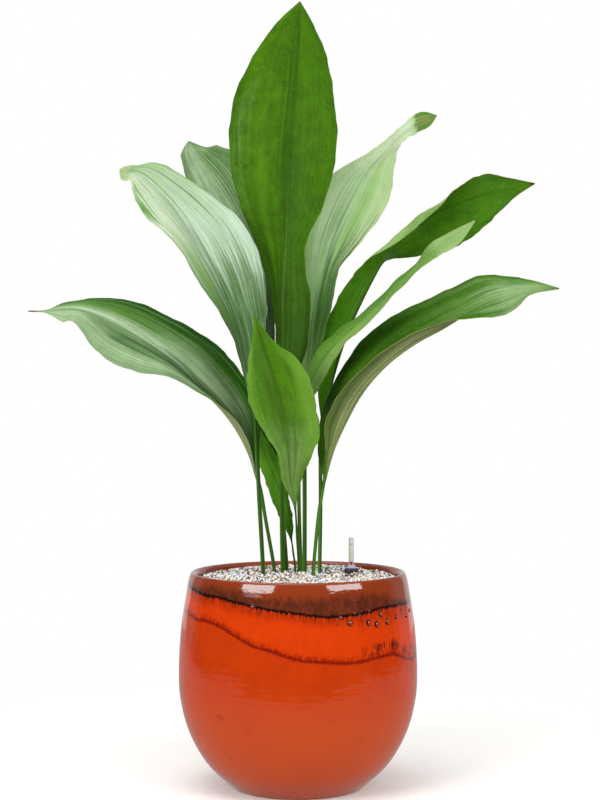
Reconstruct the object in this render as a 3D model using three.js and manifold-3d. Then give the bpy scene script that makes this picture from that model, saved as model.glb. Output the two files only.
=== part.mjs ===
// A cast iron plant (a foliage house plant) in a round glazed pot, filled with mineral granules
// and fitted with a water gauge. Millimetres, +Z up, the origin at the middle of the pot's flat
// underside on the floor, -Y towards the viewer.
import * as THREE from 'three';
import { mergeVertices } from 'three/addons/utils/BufferGeometryUtils.js';
import Module from 'manifold-3d';

// Driving dimensions of the pot
const potHeight = 225;
const shoulderRadius = 116.3;
const bellyRadius = 126;
const footRadius = 70;
const mouthRadius = 106;
const wallThickness = 9;
const floorThickness = 12;
const potSides = 48;

// The filling
const clearance = 0.4;
const stalkRoom = 1;
const fillMiddle = 221.5;
const fillEdge = 217;
const granuleRelief = 5;
const granuleRings = 15;

// The plant: where its leaves are drawn from, and how thick they are
const viewDistance = 1700;
const viewHeight = 406.5;
const marginThickness = 0.8;
const halfBow = 0.07;
const marginWave = 1.2;
const stalkCrown = 0.7;
const bladeColumns = 6;
const rowsPerStation = 2;
const rhizomeHeight = 156;
const rhizomeRadius = 7;
const stalkFoot = 168;

// The water gauge
const gaugeAcross = 57;
const gaugeDepth = 18;
const gaugeTop = 259;
const collarTop = 226.5;
const collarRadius = 7.4;
const collarHeight = 6;
const housingRadius = 6.5;
const housingBore = 5.2;
const rodBore = 1.8;
const sleeveRadius = 2.7;
const sleeveFlare = 5.8;
const rodRadius = 1.1;
const floatRadius = 4.4;
const floatLength = 40;
const tipHeight = 232.5;
const gaugeSides = 16;

// The leaves as they look from the front, from the stalk up to the tip. A point is [across, up, depth]:
// where it lies on the plane of the pot's axis, seen from viewDistance, and how far behind that plane it is.
// Each station of a blade gives its midrib, its left margin and its right margin.
const leaves = [
  {
    name: 'leaf_centre_tall',
    color: 0x46781a,
    stalkRadius: 2.6,
    stalk: [[-16, 227, 6], [-17, 300, 6], [-17, 364, 7], [-16, 406, 8]],
    blade: [
      [[-16, 460, 9], [-23, 460, 8], [8, 457, 14]],
      [[-16, 512, 10], [-28, 516, 10], [13, 512, 12]],
      [[-13, 566, 13], [-41, 563, 12], [7, 566, 9]],
      [[-11, 618, 17], [-64, 622, 12], [29, 618, 8]],
      [[-8, 672, 21], [-73, 672, 12], [41, 673, 10]],
      [[-4, 724, 26], [-68, 726, 15], [38, 727, 15]],
      [[-1, 772, 32], [-47, 772, 25], [30, 772, 24]],
      [[1, 807, 38], [-22, 807, 35], [15, 807, 35]],
    ],
    tip: [2, 829, 42],
  },
  {
    name: 'leaf_left_high',
    color: 0x8fb183,
    stalkRadius: 2.2,
    stalk: [[-37, 226, -4], [-41, 300, -8], [-44, 364, -9], [-46, 396, -9]],
    blade: [
      [[-52, 434, -10], [-58, 434, -14], [-38, 440, -8]],
      [[-60, 471, -13], [-69, 471, -24], [-34, 483, -6]],
      [[-73, 505, -18], [-86, 505, -36], [-33, 512, -7]],
      [[-91, 542, -23], [-109, 538, -48], [-39, 553, -8]],
      [[-111, 578, -30], [-131, 573, -58], [-59, 595, -9]],
      [[-135, 612, -38], [-159, 600, -64], [-97, 628, -12]],
      [[-160, 640, -46], [-173, 621, -60], [-144, 656, -28]],
      [[-175, 649, -51], [-178, 638, -55], [-168, 656, -45]],
      [[-184, 650, -55], [-187, 640, -57], [-181, 655, -52]],
    ],
    tip: [-189, 651, -58],
  },
  {
    name: 'leaf_left_back',
    color: 0x82a578,
    stalkRadius: 2,
    stalk: [[-12, 229, 26], [-16, 279, 28], [-20, 306, 29], [-22, 324, 30]],
    blade: [
      [[-26, 367, 32], [-40, 368, 36], [-18, 367, 30]],
      [[-30, 412, 34], [-45, 412, 42], [-19, 412, 30]],
      [[-32, 460, 37], [-47, 460, 48], [-24, 460, 33]],
      [[-34, 507, 42], [-55, 507, 56], [-24, 512, 36]],
      [[-46, 553, 50], [-74, 544, 66], [-23, 566, 42]],
      [[-66, 592, 60], [-99, 581, 76], [-30, 613, 52]],
      [[-87, 629, 72], [-113, 626, 86], [-42, 650, 66]],
      [[-104, 656, 84], [-123, 664, 94], [-70, 670, 80]],
      [[-111, 672, 92], [-120, 674, 96], [-93, 676, 90]],
    ],
    tip: [-116, 681, 98],
  },
  {
    name: 'leaf_left_low',
    color: 0x3a661c,
    stalkRadius: 1.8,
    stalk: [[-25, 227, 12], [-34, 279, 8], [-39, 309, 5], [-43, 324, 3]],
    blade: [
      [[-52, 351, 0], [-49, 351, -6], [-41, 356, 12]],
      [[-66, 377, -3], [-59, 375, -20], [-41, 393, 20]],
      [[-84, 400, -6], [-78, 398, -30], [-50, 418, 24]],
      [[-108, 423, -10], [-106, 415, -40], [-65, 441, 26]],
      [[-138, 451, -14], [-140, 431, -46], [-92, 470, 24]],
      [[-170, 475, -18], [-178, 439, -46], [-133, 494, 18]],
      [[-199, 491, -22], [-212, 457, -44], [-173, 510, 8]],
      [[-227, 502, -26], [-232, 481, -40], [-210, 515, -8]],
      [[-250, 504, -30], [-250, 490, -36], [-244, 511, -20]],
      [[-269, 501, -33], [-268, 499, -34], [-266, 502, -31]],
    ],
    tip: [-286, 501, -36],
  },
  {
    name: 'leaf_right_high',
    color: 0x9cbb84,
    stalkRadius: 2.2,
    stalk: [[7, 225, 2], [7, 300, 8], [7, 364, 14], [8, 401, 18]],
    blade: [
      [[11, 437, 22], [18, 436, 26], [3, 444, 20]],
      [[14, 473, 26], [26, 470, 34], [2, 475, 22]],
      [[19, 509, 30], [36, 509, 40], [-1, 509, 22]],
      [[28, 546, 34], [44, 545, 46], [2, 553, 26]],
      [[39, 581, 38], [72, 580, 52], [5, 589, 30]],
      [[55, 616, 42], [95, 616, 56], [16, 626, 34]],
      [[73, 648, 46], [103, 659, 56], [39, 648, 40]],
      [[96, 674, 50], [108, 676, 52], [79, 672, 48]],
      [[110, 687, 54], [113, 684, 52], [109, 690, 56]],
      [[125, 699, 56], [127, 690, 58], [123, 709, 60]],
      [[137, 704, 58], [140, 697, 58], [134, 712, 60]],
    ],
    tip: [147, 708, 60],
  },
  {
    name: 'leaf_right_folded',
    color: 0x3f7316,
    stalkRadius: 1.9,
    stalk: [[23, 226, -2], [24, 290, 2], [24, 354, 8], [26, 380, 14]],
    blade: [
      [[37, 425, 30], [21, 415, 24], [38, 430, 40]],
      [[49, 465, 40], [21, 465, 44], [46, 463, 62]],
      [[63, 498, 50], [39, 508, 46], [55, 500, 76]],
      [[78, 529, 58], [57, 537, 50], [70, 531, 88]],
      [[91, 553, 66], [75, 557, 50], [88, 551, 96]],
      [[106, 573, 74], [108, 583, 46], [114, 557, 92]],
      [[127, 591, 80], [129, 603, 50], [142, 561, 86]],
      [[152, 606, 84], [154, 619, 60], [171, 571, 82]],
      [[176, 616, 86], [173, 634, 72], [193, 586, 84]],
      [[200, 624, 88], [197, 646, 84], [213, 605, 88]],
      [[226, 630, 90], [224, 642, 90], [231, 622, 91]],
    ],
    tip: [251, 636, 92],
  },
  {
    name: 'leaf_right_narrow',
    color: 0x7fa94c,
    stalkRadius: 1.8,
    stalk: [[3, 228, 14], [1, 290, 10], [1, 354, 4], [3, 380, 0]],
    blade: [
      [[8, 409, -4], [4, 412, 4], [14, 404, -8]],
      [[17, 434, -8], [10, 438, 8], [22, 419, -16]],
      [[30, 455, -13], [21, 462, 10], [35, 444, -26]],
      [[48, 474, -18], [41, 480, 10], [51, 466, -36]],
      [[68, 492, -24], [63, 494, 8], [72, 486, -44]],
      [[89, 511, -30], [86, 517, 2], [93, 510, -52]],
      [[109, 530, -36], [106, 536, -6], [113, 528, -58]],
      [[129, 549, -42], [124, 549, -16], [134, 550, -62]],
      [[147, 567, -48], [138, 571, -30], [151, 561, -64]],
      [[166, 581, -54], [160, 584, -46], [171, 572, -62]],
    ],
    tip: [188, 597, -60],
  },
  {
    name: 'leaf_right_low',
    color: 0x3c6a12,
    stalkRadius: 1.7,
    stalk: [[16, 224, -22], [21, 279, -24], [25, 306, -25], [28, 322, -26]],
    blade: [
      [[37, 354, -28], [21, 351, -8], [29, 354, -38]],
      [[51, 385, -31], [24, 386, 4], [30, 387, -52]],
      [[69, 416, -34], [35, 420, 10], [47, 418, -62]],
      [[93, 443, -37], [58, 458, 10], [77, 446, -68]],
      [[122, 465, -40], [90, 488, 8], [111, 472, -72]],
      [[153, 482, -43], [125, 509, 4], [147, 488, -76]],
      [[180, 498, -46], [160, 524, -2], [180, 492, -78]],
      [[206, 511, -49], [194, 538, -12], [209, 495, -78]],
      [[228, 519, -52], [224, 538, -26], [230, 503, -76]],
      [[249, 523, -56], [246, 534, -44], [247, 518, -66]],
    ],
    tip: [277, 525, -62],
  },
  {
    name: 'leaf_front_small',
    color: 0x558c23,
    stalkRadius: 1.4,
    stalk: [[1, 228, 2], [-1, 263, -5], [-3, 293, -14]],
    blade: [
      [[-7, 320, -20], [-17, 321, -24], [3, 320, -24]],
      [[-9, 346, -26], [-21, 347, -34], [14, 345, -36]],
      [[-13, 372, -32], [-36, 372, -42], [23, 370, -44]],
      [[-18, 397, -38], [-49, 397, -50], [20, 393, -50]],
      [[-24, 423, -43], [-54, 421, -56], [15, 422, -55]],
      [[-32, 448, -48], [-53, 448, -58], [0, 449, -58]],
      [[-39, 471, -53], [-48, 472, -57], [-26, 469, -58]],
    ],
    tip: [-46, 496, -58],
  },
  {
    name: 'leaf_back_small',
    color: 0x3f7420,
    stalkRadius: 1,
    stalk: [[-3, 228, 16], [-5, 244, 17], [-7, 258, 18]],
    blade: [
      [[-11, 275, 19], [-15, 273, 20], [-5, 274, 18]],
      [[-15, 295, 20], [-25, 294, 23], [-8, 295, 17]],
      [[-21, 315, 21], [-32, 314, 25], [-13, 317, 17]],
      [[-29, 335, 22], [-40, 334, 27], [-18, 340, 18]],
      [[-36, 355, 23], [-45, 351, 27], [-29, 358, 20]],
    ],
    tip: [-43, 378, 24],
  },
];

const wasm = await Module();
wasm.setup();

// A closed geometry as a solid that can be joined and cut
function solidOf(geometry) {
  const bare = geometry.index ? geometry.toNonIndexed() : geometry.clone();
  bare.deleteAttribute('normal');
  bare.deleteAttribute('uv');
  const merged = mergeVertices(bare, 1e-3);
  const corners = merged.index.array;
  const triangles = [];
  for (let i = 0; i < corners.length; i += 3) {
    const [a, b, c] = corners.slice(i, i + 3);
    if (a !== b && b !== c && a !== c) triangles.push(a, b, c);
  }
  return new wasm.Manifold(new wasm.Mesh({
    numProp: 3,
    vertProperties: merged.attributes.position.array,
    triVerts: new Uint32Array(triangles),
  }));
}

function geometryOf(solid) {
  const result = solid.getMesh();
  const geometry = new THREE.BufferGeometry();
  geometry.setAttribute('position', new THREE.BufferAttribute(result.vertProperties, 3));
  geometry.setIndex(new THREE.BufferAttribute(result.triVerts, 1));
  return geometry;
}

// Seeded random numbers from 0 to 1
function makeRandom(seed) {
  let state = seed;
  return () => {
    state = (state * 1664525 + 1013904223) % 4294967296;
    return state / 4294967296;
  };
}

// A profile of [radius, height] pairs turned round the Z axis
function turned(profile, sides) {
  const points = profile.map(([radius, height]) => new THREE.Vector2(radius, height));
  return new THREE.LatheGeometry(points, sides).rotateX(Math.PI / 2);
}

function uprightCylinder(radius, bottom, top, x, y, sides) {
  const cylinder = new THREE.CylinderGeometry(radius, radius, top - bottom, sides);
  return cylinder.rotateX(Math.PI / 2).translate(x, y, (bottom + top) / 2);
}

function nodeMesh(name, geometry, color, roughness, options = {}) {
  const material = new THREE.MeshStandardMaterial({ color, roughness, metalness: 0, ...options });
  const mesh = new THREE.Mesh(geometry, material);
  mesh.name = name;
  return mesh;
}

// The pot's outer side from the foot to the rim, and its inner side from the rim to the floor
function outerSide() {
  const curve = new THREE.SplineCurve([
    new THREE.Vector2(footRadius, 0),
    new THREE.Vector2(96, 24.5),
    new THREE.Vector2(114.5, 56),
    new THREE.Vector2(124, 90),
    new THREE.Vector2(bellyRadius, 122),
    new THREE.Vector2(123.3, 169),
    new THREE.Vector2(shoulderRadius, potHeight - 10.5),
  ]);
  return curve.getPoints(12).map((point) => [point.x, point.y]);
}

// The rim's shoulder, its crest near the outer side and its rounded inner lip, by radius and depth under the top
function rimRound() {
  const rim = [[115.5, 6.8], [114.5, 3.7], [113.4, 1.1], [112, 0], [110.2, 0.3], [108.3, 1.8], [106.8, 4.5]];
  return rim.map(([radius, drop]) => [radius, potHeight - drop]);
}

function innerSide() {
  const curve = new THREE.SplineCurve([
    new THREE.Vector2(mouthRadius, potHeight - 8.5),
    new THREE.Vector2(114, 169),
    new THREE.Vector2(bellyRadius - wallThickness, 122),
    new THREE.Vector2(115, 90),
    new THREE.Vector2(105, 56),
    new THREE.Vector2(90, 32),
    new THREE.Vector2(69, floorThickness),
  ]);
  return curve.getPoints(7).map((point) => [point.x, point.y]);
}

function makePot() {
  const profile = [[0, 0], ...outerSide(), ...rimRound(), ...innerSide(), [0, floorThickness]];
  return turned(profile, potSides);
}

// A point given as it looks from the front, at its true place
function place([across, up, depth]) {
  const nearness = 1 + depth / viewDistance;
  return new THREE.Vector3(across * nearness, depth, viewHeight + (up - viewHeight) * nearness);
}

function alongCurve(points, position) {
  const curve = new THREE.CatmullRomCurve3(points, false, 'catmullrom', 0.5);
  return curve.getPoint(position / (points.length - 1));
}

// The midrib and the two margins of a leaf at each of its stations, from the foot of its stalk to its tip
function leafStations(leaf) {
  const stalk = leaf.stalk.map(place);
  const entry = stalk[0];
  stalk.unshift(
    new THREE.Vector3(entry.x, entry.y, stalkFoot),
    new THREE.Vector3(entry.x, entry.y, (stalkFoot + entry.z) / 2),
  );
  const blade = leaf.blade.map((station) => station.map(place));
  const across = (station) => station[2].clone().sub(station[1]).normalize();
  const [first, last] = [blade[0], blade[blade.length - 1]];
  const besides = (point, side, reach) => [
    point,
    point.clone().addScaledVector(side, -reach),
    point.clone().addScaledVector(side, reach),
  ];
  const level = across(first).setZ(0).normalize();
  const foot = stalk.map((point) => besides(point, level, leaf.stalkRadius));
  const tip = besides(place(leaf.tip), across(last), marginThickness);
  return [...foot, ...blade, tip];
}

// The face that a leaf is built on, as rows of points, with how far along the blade each row is.
// It is the upper side of the blade and the middle plane of the stalk.
function leafFace(leaf) {
  const stations = leafStations(leaf);
  const stalkStations = leaf.stalk.length + 1;
  const lines = [0, 1, 2].map((side) => stations.map((station) => station[side]));
  const rows = [];
  for (let step = 0; step <= (stations.length - 1) * rowsPerStation; step += 1) {
    const position = step / rowsPerStation;
    const onStalk = position < stalkStations;
    if (onStalk && !Number.isInteger(position)) continue;
    const [middle, left, right] = lines.map((line) => alongCurve(line, position));
    rows.push({ position, middle, left, right, bladePart: Math.max(0, position - stalkStations) });
  }
  const length = stations.length - 1 - stalkStations;
  return rows.map((row, index) => {
    const before = rows[Math.max(0, index - 1)].middle;
    const after = rows[Math.min(rows.length - 1, index + 1)].middle;
    const along = after.clone().sub(before).normalize();
    const part = row.bladePart / length;
    const points = [];
    for (let column = 0; column <= bladeColumns; column += 1) {
      const reach = (2 * column) / bladeColumns - 1;
      const margin = reach < 0 ? row.left : row.right;
      const chord = margin.clone().sub(row.middle);
      const outward = reach < 0 ? chord.clone().negate() : chord.clone();
      const facing = outward.cross(along).normalize();
      const away = Math.abs(reach);
      const bow = 2 * away * (1 - away) * halfBow * chord.length();
      const wave = marginWave * away * away * Math.sin(row.position * 2.1 + (reach > 0 ? 1.3 : 0));
      const point = row.middle.clone().addScaledVector(chord, away);
      const lift = row.bladePart > 0 ? bow + wave * Math.sin(Math.PI * part) : 0;
      points.push(point.addScaledVector(facing, lift));
    }
    const roundness = Math.max(0, 1 - row.bladePart);
    return { points, part, roundness, width: row.left.distanceTo(row.right) };
  });
}

function faceNormal(rows, i, j) {
  const point = (row, column) => rows[row].points[column];
  const [below, above] = [Math.max(0, i - 1), Math.min(rows.length - 1, i + 1)];
  const [left, right] = [Math.max(0, j - 1), Math.min(bladeColumns, j + 1)];
  const along = point(above, j).clone().sub(point(below, j));
  const across = point(i, right).clone().sub(point(i, left));
  return across.cross(along).normalize();
}

// How far a leaf reaches above and below that face: a round stalk, and a thin blade with a rib underneath
function leafDepths(leaf, row, reach) {
  const crown = stalkCrown * leaf.stalkRadius * Math.sqrt(1 - reach * reach);
  const ribHalf = leaf.stalkRadius * (1 - 0.6 * row.part);
  const ribDepth = leaf.stalkRadius * (1 - row.part) ** 2;
  const fromRib = (Math.abs(reach) * row.width) / 2 / ribHalf;
  const rib = ribDepth * Math.sqrt(Math.max(0, 1 - fromRib * fromRib));
  return {
    above: row.roundness * (marginThickness / 2 + crown),
    below: marginThickness * (1 - row.roundness / 2) + rib,
  };
}

// One closed leaf. Its two faces are split into triangles alike.
function makeLeaf(leaf) {
  const rows = leafFace(leaf);
  const columns = bladeColumns + 1;
  const positions = [];
  rows.forEach((row, i) => {
    const under = [];
    row.points.forEach((point, j) => {
      const { above, below } = leafDepths(leaf, row, (2 * j) / bladeColumns - 1);
      const normal = faceNormal(rows, i, j);
      positions.push(...point.clone().addScaledVector(normal, above).toArray());
      under.push(...point.clone().addScaledVector(normal, -below).toArray());
    });
    positions.push(...under);
  });
  const upper = (i, j) => i * columns * 2 + j;
  const lower = (i, j) => upper(i, j) + columns;
  const faces = [];
  const quad = (a, b, c, d) => faces.push(a, b, c, a, c, d);
  const last = rows.length - 1;
  for (let i = 0; i < last; i += 1) {
    for (let j = 0; j < bladeColumns; j += 1) {
      quad(upper(i, j), upper(i, j + 1), upper(i + 1, j + 1), upper(i + 1, j));
      faces.push(lower(i, j), lower(i + 1, j + 1), lower(i, j + 1));
      faces.push(lower(i, j), lower(i + 1, j), lower(i + 1, j + 1));
    }
    quad(lower(i, 0), upper(i, 0), upper(i + 1, 0), lower(i + 1, 0));
    quad(upper(i, bladeColumns), lower(i, bladeColumns), lower(i + 1, bladeColumns), upper(i + 1, bladeColumns));
  }
  for (let j = 0; j < bladeColumns; j += 1) {
    quad(upper(0, j), lower(0, j), lower(0, j + 1), upper(0, j + 1));
    quad(upper(last, j), upper(last, j + 1), lower(last, j + 1), lower(last, j));
  }
  const geometry = new THREE.BufferGeometry();
  geometry.setAttribute('position', new THREE.Float32BufferAttribute(positions, 3));
  geometry.setIndex(faces);
  return geometry;
}

// The creeping rootstock in the filling, with a knob under each stalk. Swell makes room for it.
function makeRhizome(swell) {
  const runs = [
    [[-37, -4], [-23, 9], [4, 9], [23, -2], [16, -22]],
    [[-12, 9], [-12, 26]],
  ];
  const radius = rhizomeRadius + swell;
  const solids = [];
  runs.forEach((run) => {
    run.forEach(([x, y], index) => {
      if (index === 0) return;
      const [startX, startY] = run[index - 1];
      const length = Math.hypot(x - startX, y - startY) + rhizomeRadius + 2 * swell;
      const piece = new THREE.CylinderGeometry(radius * 0.8, radius, length, 8);
      piece.rotateZ(Math.PI / 2).rotateZ(Math.atan2(y - startY, x - startX));
      solids.push(solidOf(piece.translate((x + startX) / 2, (y + startY) / 2, rhizomeHeight)));
    });
  });
  leaves.forEach((leaf) => {
    const { x, y } = place(leaf.stalk[0]);
    const [bottom, top] = [rhizomeHeight - swell, stalkFoot - clearance + swell];
    solids.push(solidOf(uprightCylinder(leaf.stalkRadius + 1 + swell, bottom, top, x, y, 8)));
  });
  return wasm.Manifold.union(solids);
}

// The granules fill the pot. Their top is a bed of jittered peaks and hollows, highest in the middle.
function makeFilling() {
  const random = makeRandom(7);
  const side = innerSide().reverse().filter(([, height]) => height < fillEdge - 8);
  const rings = [];
  side.forEach(([radius, height]) => rings.push({ radius: radius - clearance, height: height + clearance, rough: 0 }));
  const edge = mouthRadius - clearance;
  for (let ring = 0; ring < granuleRings; ring += 1) {
    const radius = edge * (1 - ring / granuleRings);
    const middle = 1 - (radius / edge) ** 2;
    const height = fillEdge + (fillMiddle - fillEdge) * middle;
    rings.push({ radius, height, rough: ring === 0 ? 0 : 1 });
  }
  const positions = [0, 0, floorThickness + clearance];
  const step = (2 * Math.PI) / potSides;
  rings.forEach(({ radius, height, rough }, ring) => {
    for (let i = 0; i < potSides; i += 1) {
      const angle = (i + rough * (random() - 0.5) * 0.5) * step;
      const reach = radius + rough * (random() - 0.5) * 3;
      const lift = rough * (random() - 0.5) * granuleRelief;
      positions.push(Math.sin(angle) * reach, -Math.cos(angle) * reach, height + lift);
    }
  });
  positions.push(0, 0, fillMiddle);
  const faces = [];
  const corner = (ring, i) => 1 + ring * potSides + (i % potSides);
  const top = positions.length / 3 - 1;
  for (let i = 0; i < potSides; i += 1) {
    faces.push(0, corner(0, i + 1), corner(0, i));
    for (let ring = 0; ring < rings.length - 1; ring += 1) {
      const [a, b] = [corner(ring, i), corner(ring, i + 1)];
      const [c, d] = [corner(ring + 1, i + 1), corner(ring + 1, i)];
      faces.push(a, b, c, a, c, d);
    }
    faces.push(corner(rings.length - 1, i), corner(rings.length - 1, i + 1), top);
  }
  const bed = new THREE.BufferGeometry();
  bed.setAttribute('position', new THREE.Float32BufferAttribute(positions, 3));
  bed.setIndex(faces);
  const holes = leaves.map((leaf) => {
    const { x, y } = place(leaf.stalk[0]);
    return solidOf(uprightCylinder(leaf.stalkRadius + stalkRoom, stalkFoot - 1, potHeight + 9, x, y, 10));
  });
  const [gaugeX, gaugeY] = [gaugeAcross, gaugeDepth];
  const collarBottom = collarTop - collarHeight;
  const housingHole = uprightCylinder(housingRadius + clearance, 0, potHeight, gaugeX, gaugeY, gaugeSides);
  const collarSeat = uprightCylinder(
    collarRadius + clearance, collarBottom - clearance, potHeight + 9, gaugeX, gaugeY, gaugeSides,
  );
  holes.push(solidOf(housingHole), solidOf(collarSeat), makeRhizome(clearance));
  return geometryOf(solidOf(bed).subtract(wasm.Manifold.union(holes)));
}

// The water gauge: a collar with its housing, a clear sleeve, and a float whose red tip shows the level
function makeHousing() {
  const collarBottom = collarTop - collarHeight;
  const bottom = floorThickness + clearance;
  const wallTop = collarBottom - 2;
  return turned([
    [rodBore, bottom], [housingRadius, bottom], [housingRadius, collarBottom], [collarRadius, collarBottom],
    [collarRadius, collarTop - 1], [collarRadius - 1, collarTop], [rodBore, collarTop], [rodBore, wallTop],
    [housingBore, wallTop], [housingBore, bottom + 4], [rodBore, bottom + 4], [rodBore, bottom],
  ], gaugeSides);
}

function makeSleeve() {
  const bottom = collarTop + 0.3;
  return turned([
    [rodBore, bottom], [sleeveFlare, bottom], [sleeveFlare - 0.4, bottom + 0.8], [sleeveRadius + 0.4, bottom + 4.2],
    [sleeveRadius + 0.2, bottom + 6], [sleeveRadius, gaugeTop - 0.6], [sleeveRadius - 0.5, gaugeTop], [0, gaugeTop],
    [0, gaugeTop - 1], [rodBore, gaugeTop - 1.4], [rodBore, bottom],
  ], gaugeSides);
}

function makeFloat() {
  const bottom = floorThickness + clearance + 4 + 0.3;
  const top = bottom + floatLength;
  return turned([
    [0, bottom], [floatRadius - 1, bottom], [floatRadius, bottom + 2], [floatRadius, top - 2],
    [rodRadius, top], [rodRadius, tipHeight - 0.6], [rodRadius - 0.5, tipHeight], [0, tipHeight],
  ], gaugeSides);
}

const plant = new THREE.Group();
plant.add(nodeMesh('pot', makePot(), 0xc83e10, 0.15));
plant.add(nodeMesh('granules', makeFilling(), 0xbdb3a8, 0.85));
plant.add(nodeMesh('rhizome', geometryOf(makeRhizome(0)), 0xb79a6a, 0.8));
leaves.forEach((leaf) => plant.add(nodeMesh(leaf.name, makeLeaf(leaf), leaf.color, 0.4)));

const gauge = new THREE.Group();
gauge.position.set(gaugeAcross, gaugeDepth, 0);
gauge.add(nodeMesh('gauge_housing', makeHousing(), 0x2a2430, 0.5));
gauge.add(nodeMesh('gauge_sleeve', makeSleeve(), 0xe8ecec, 0.15, { transparent: true, opacity: 0.5 }));
gauge.add(nodeMesh('gauge_float', makeFloat(), 0xd8401c, 0.4));
plant.add(gauge);

export default plant;
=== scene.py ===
# A cast iron plant in a round glazed pot, dressed round the frame that its CAD model gives.
# Everything is in metres, Z up, with the origin on the floor under the middle of the pot.
import math
import bpy
import bmesh
import numpy as np
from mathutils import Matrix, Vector
from mathutils.bvhtree import BVHTree


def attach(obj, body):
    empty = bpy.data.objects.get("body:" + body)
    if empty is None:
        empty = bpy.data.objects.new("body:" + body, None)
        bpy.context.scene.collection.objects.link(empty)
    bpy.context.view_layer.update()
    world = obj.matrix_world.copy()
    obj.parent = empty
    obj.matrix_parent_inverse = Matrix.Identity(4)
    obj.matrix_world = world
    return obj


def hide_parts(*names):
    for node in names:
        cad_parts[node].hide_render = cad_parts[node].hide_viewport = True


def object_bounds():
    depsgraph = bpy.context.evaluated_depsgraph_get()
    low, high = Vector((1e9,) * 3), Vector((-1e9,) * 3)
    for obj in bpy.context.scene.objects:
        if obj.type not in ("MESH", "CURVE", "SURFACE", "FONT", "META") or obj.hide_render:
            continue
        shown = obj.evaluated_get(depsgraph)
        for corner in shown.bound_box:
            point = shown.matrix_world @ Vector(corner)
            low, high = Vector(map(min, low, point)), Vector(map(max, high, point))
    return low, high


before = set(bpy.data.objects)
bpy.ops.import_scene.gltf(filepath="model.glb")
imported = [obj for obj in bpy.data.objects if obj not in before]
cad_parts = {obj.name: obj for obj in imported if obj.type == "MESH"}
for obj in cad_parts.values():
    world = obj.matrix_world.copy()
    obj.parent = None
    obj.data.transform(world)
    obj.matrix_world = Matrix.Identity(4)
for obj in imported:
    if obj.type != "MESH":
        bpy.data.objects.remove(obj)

cadBox = [list(corner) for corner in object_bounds()]
mm = 0.001
tiny = 1e-6
print("frame loaded:", len(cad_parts), "solids")


# Shader wires
class Wire:
    # one output of a material's nodes; sums on wires add Math nodes
    def __init__(self, tree, socket=None):
        self.tree = tree
        self.socket = socket

    def add(self, kind, settings=None, inputs=None, output=0):
        made = self.tree.nodes.new("ShaderNode" + kind)
        for key, value in (settings or {}).items():
            if key == "stops":
                fillRamp(made.color_ramp, value)
            else:
                setattr(made, key, value)
        for key, value in (inputs or {}).items():
            if isinstance(value, Wire):
                self.tree.links.new(value.socket, made.inputs[key])
            else:
                made.inputs[key].default_value = value
        return Wire(self.tree, made.outputs[output])

    def sum(self, operation, *values):
        return self.add("Math", {"operation": operation}, dict(enumerate(values)))

    def __add__(self, other):
        return self.sum("ADD", self, other)

    def __radd__(self, other):
        return self.sum("ADD", other, self)

    def __sub__(self, other):
        return self.sum("SUBTRACT", self, other)

    def __rsub__(self, other):
        return self.sum("SUBTRACT", other, self)

    def __mul__(self, other):
        return self.sum("MULTIPLY", self, other)

    def __rmul__(self, other):
        return self.sum("MULTIPLY", other, self)

    def __truediv__(self, other):
        return self.sum("DIVIDE", self, other)

    def __rtruediv__(self, other):
        return self.sum("DIVIDE", other, self)

    def __abs__(self):
        return self.sum("ABSOLUTE", self)

    def parts(self):
        # the three numbers of a vector
        split = self.add("SeparateXYZ", {}, {0: self}).socket.node
        return [Wire(self.tree, socket) for socket in split.outputs]

    def rise(self, low, high):
        # 0 below low and 1 above high, with a soft step between them
        return self.add("MapRange", {"interpolation_type": "SMOOTHSTEP"}, {0: self, 1: low, 2: high})

    def mixed(self, a, b):
        # colour a where this wire is 0, and colour b where it is 1; either may be a colour's code
        a, b = (tint(color) if isinstance(color, str) else color for color in (a, b))
        return self.add("Mix", {"data_type": "RGBA"}, {0: self, 6: a, 7: b}, 2)


def fillRamp(ramp, stops):
    while len(ramp.elements) < len(stops):
        ramp.elements.new(0.5)
    for element, (where, color) in zip(ramp.elements, stops):
        element.position = where
        element.color = color
    ramp.interpolation = "CONSTANT"


def tint(code, share=0.55):
    # a colour as it looks in the studio light, made linear
    channels = [int(code[i:i + 2], 16) / 255 for i in (0, 2, 4)]
    return [share * (c / 12.92 if c < 0.04045 else ((c + 0.055) / 1.055) ** 2.4) for c in channels] + [1]


def mainShader(material):
    return material.node_tree.nodes["Principled BSDF"]


def startMaterial(name, **constants):
    material = bpy.data.materials.new(name)
    material.use_nodes = True
    for key, value in constants.items():
        mainShader(material).inputs[key.replace("_", " ")].default_value = value
    return material, Wire(material.node_tree)


def feed(material, **wires):
    # links the wires to the shader's sockets of these names
    for key, wire in wires.items():
        wire.tree.links.new(wire.socket, mainShader(material).inputs[key.replace("_", " ")])
    return material


def attribute(wire, name):
    return wire.add("Attribute", {"attribute_name": name}, {}, 1)


def spot(wire, scale=(1, 1, 1)):
    # the place on the piece itself, in metres, stretched by scale
    here = wire.add("TexCoord", {}, {}, 3)
    return wire.add("VectorMath", {"operation": "MULTIPLY"}, {0: here, 1: scale})


def noise(wire, scale, detail=2, squash=1, roughness=0.5, at=None):
    # clouds over the piece, squashed upwards, or over another vector
    at = at or spot(wire, (1, 1, squash))
    return wire.add("TexNoise", {}, {"Vector": at, "Scale": scale, "Detail": detail, "Roughness": roughness})


def bump(height, depth, strength):
    # bumps of a depth in metres
    return height.add("Bump", {}, {"Height": height, "Distance": depth, "Strength": strength})


def band(wire, low, high, soft):
    # 1 between low and high
    return wire.rise(low - soft, low + soft) * (1 - wire.rise(high - soft, high + soft))


# Mesh helpers
def linked(name, data):
    made = bpy.data.objects.new(name, data)
    bpy.context.scene.collection.objects.link(made)
    return made


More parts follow.
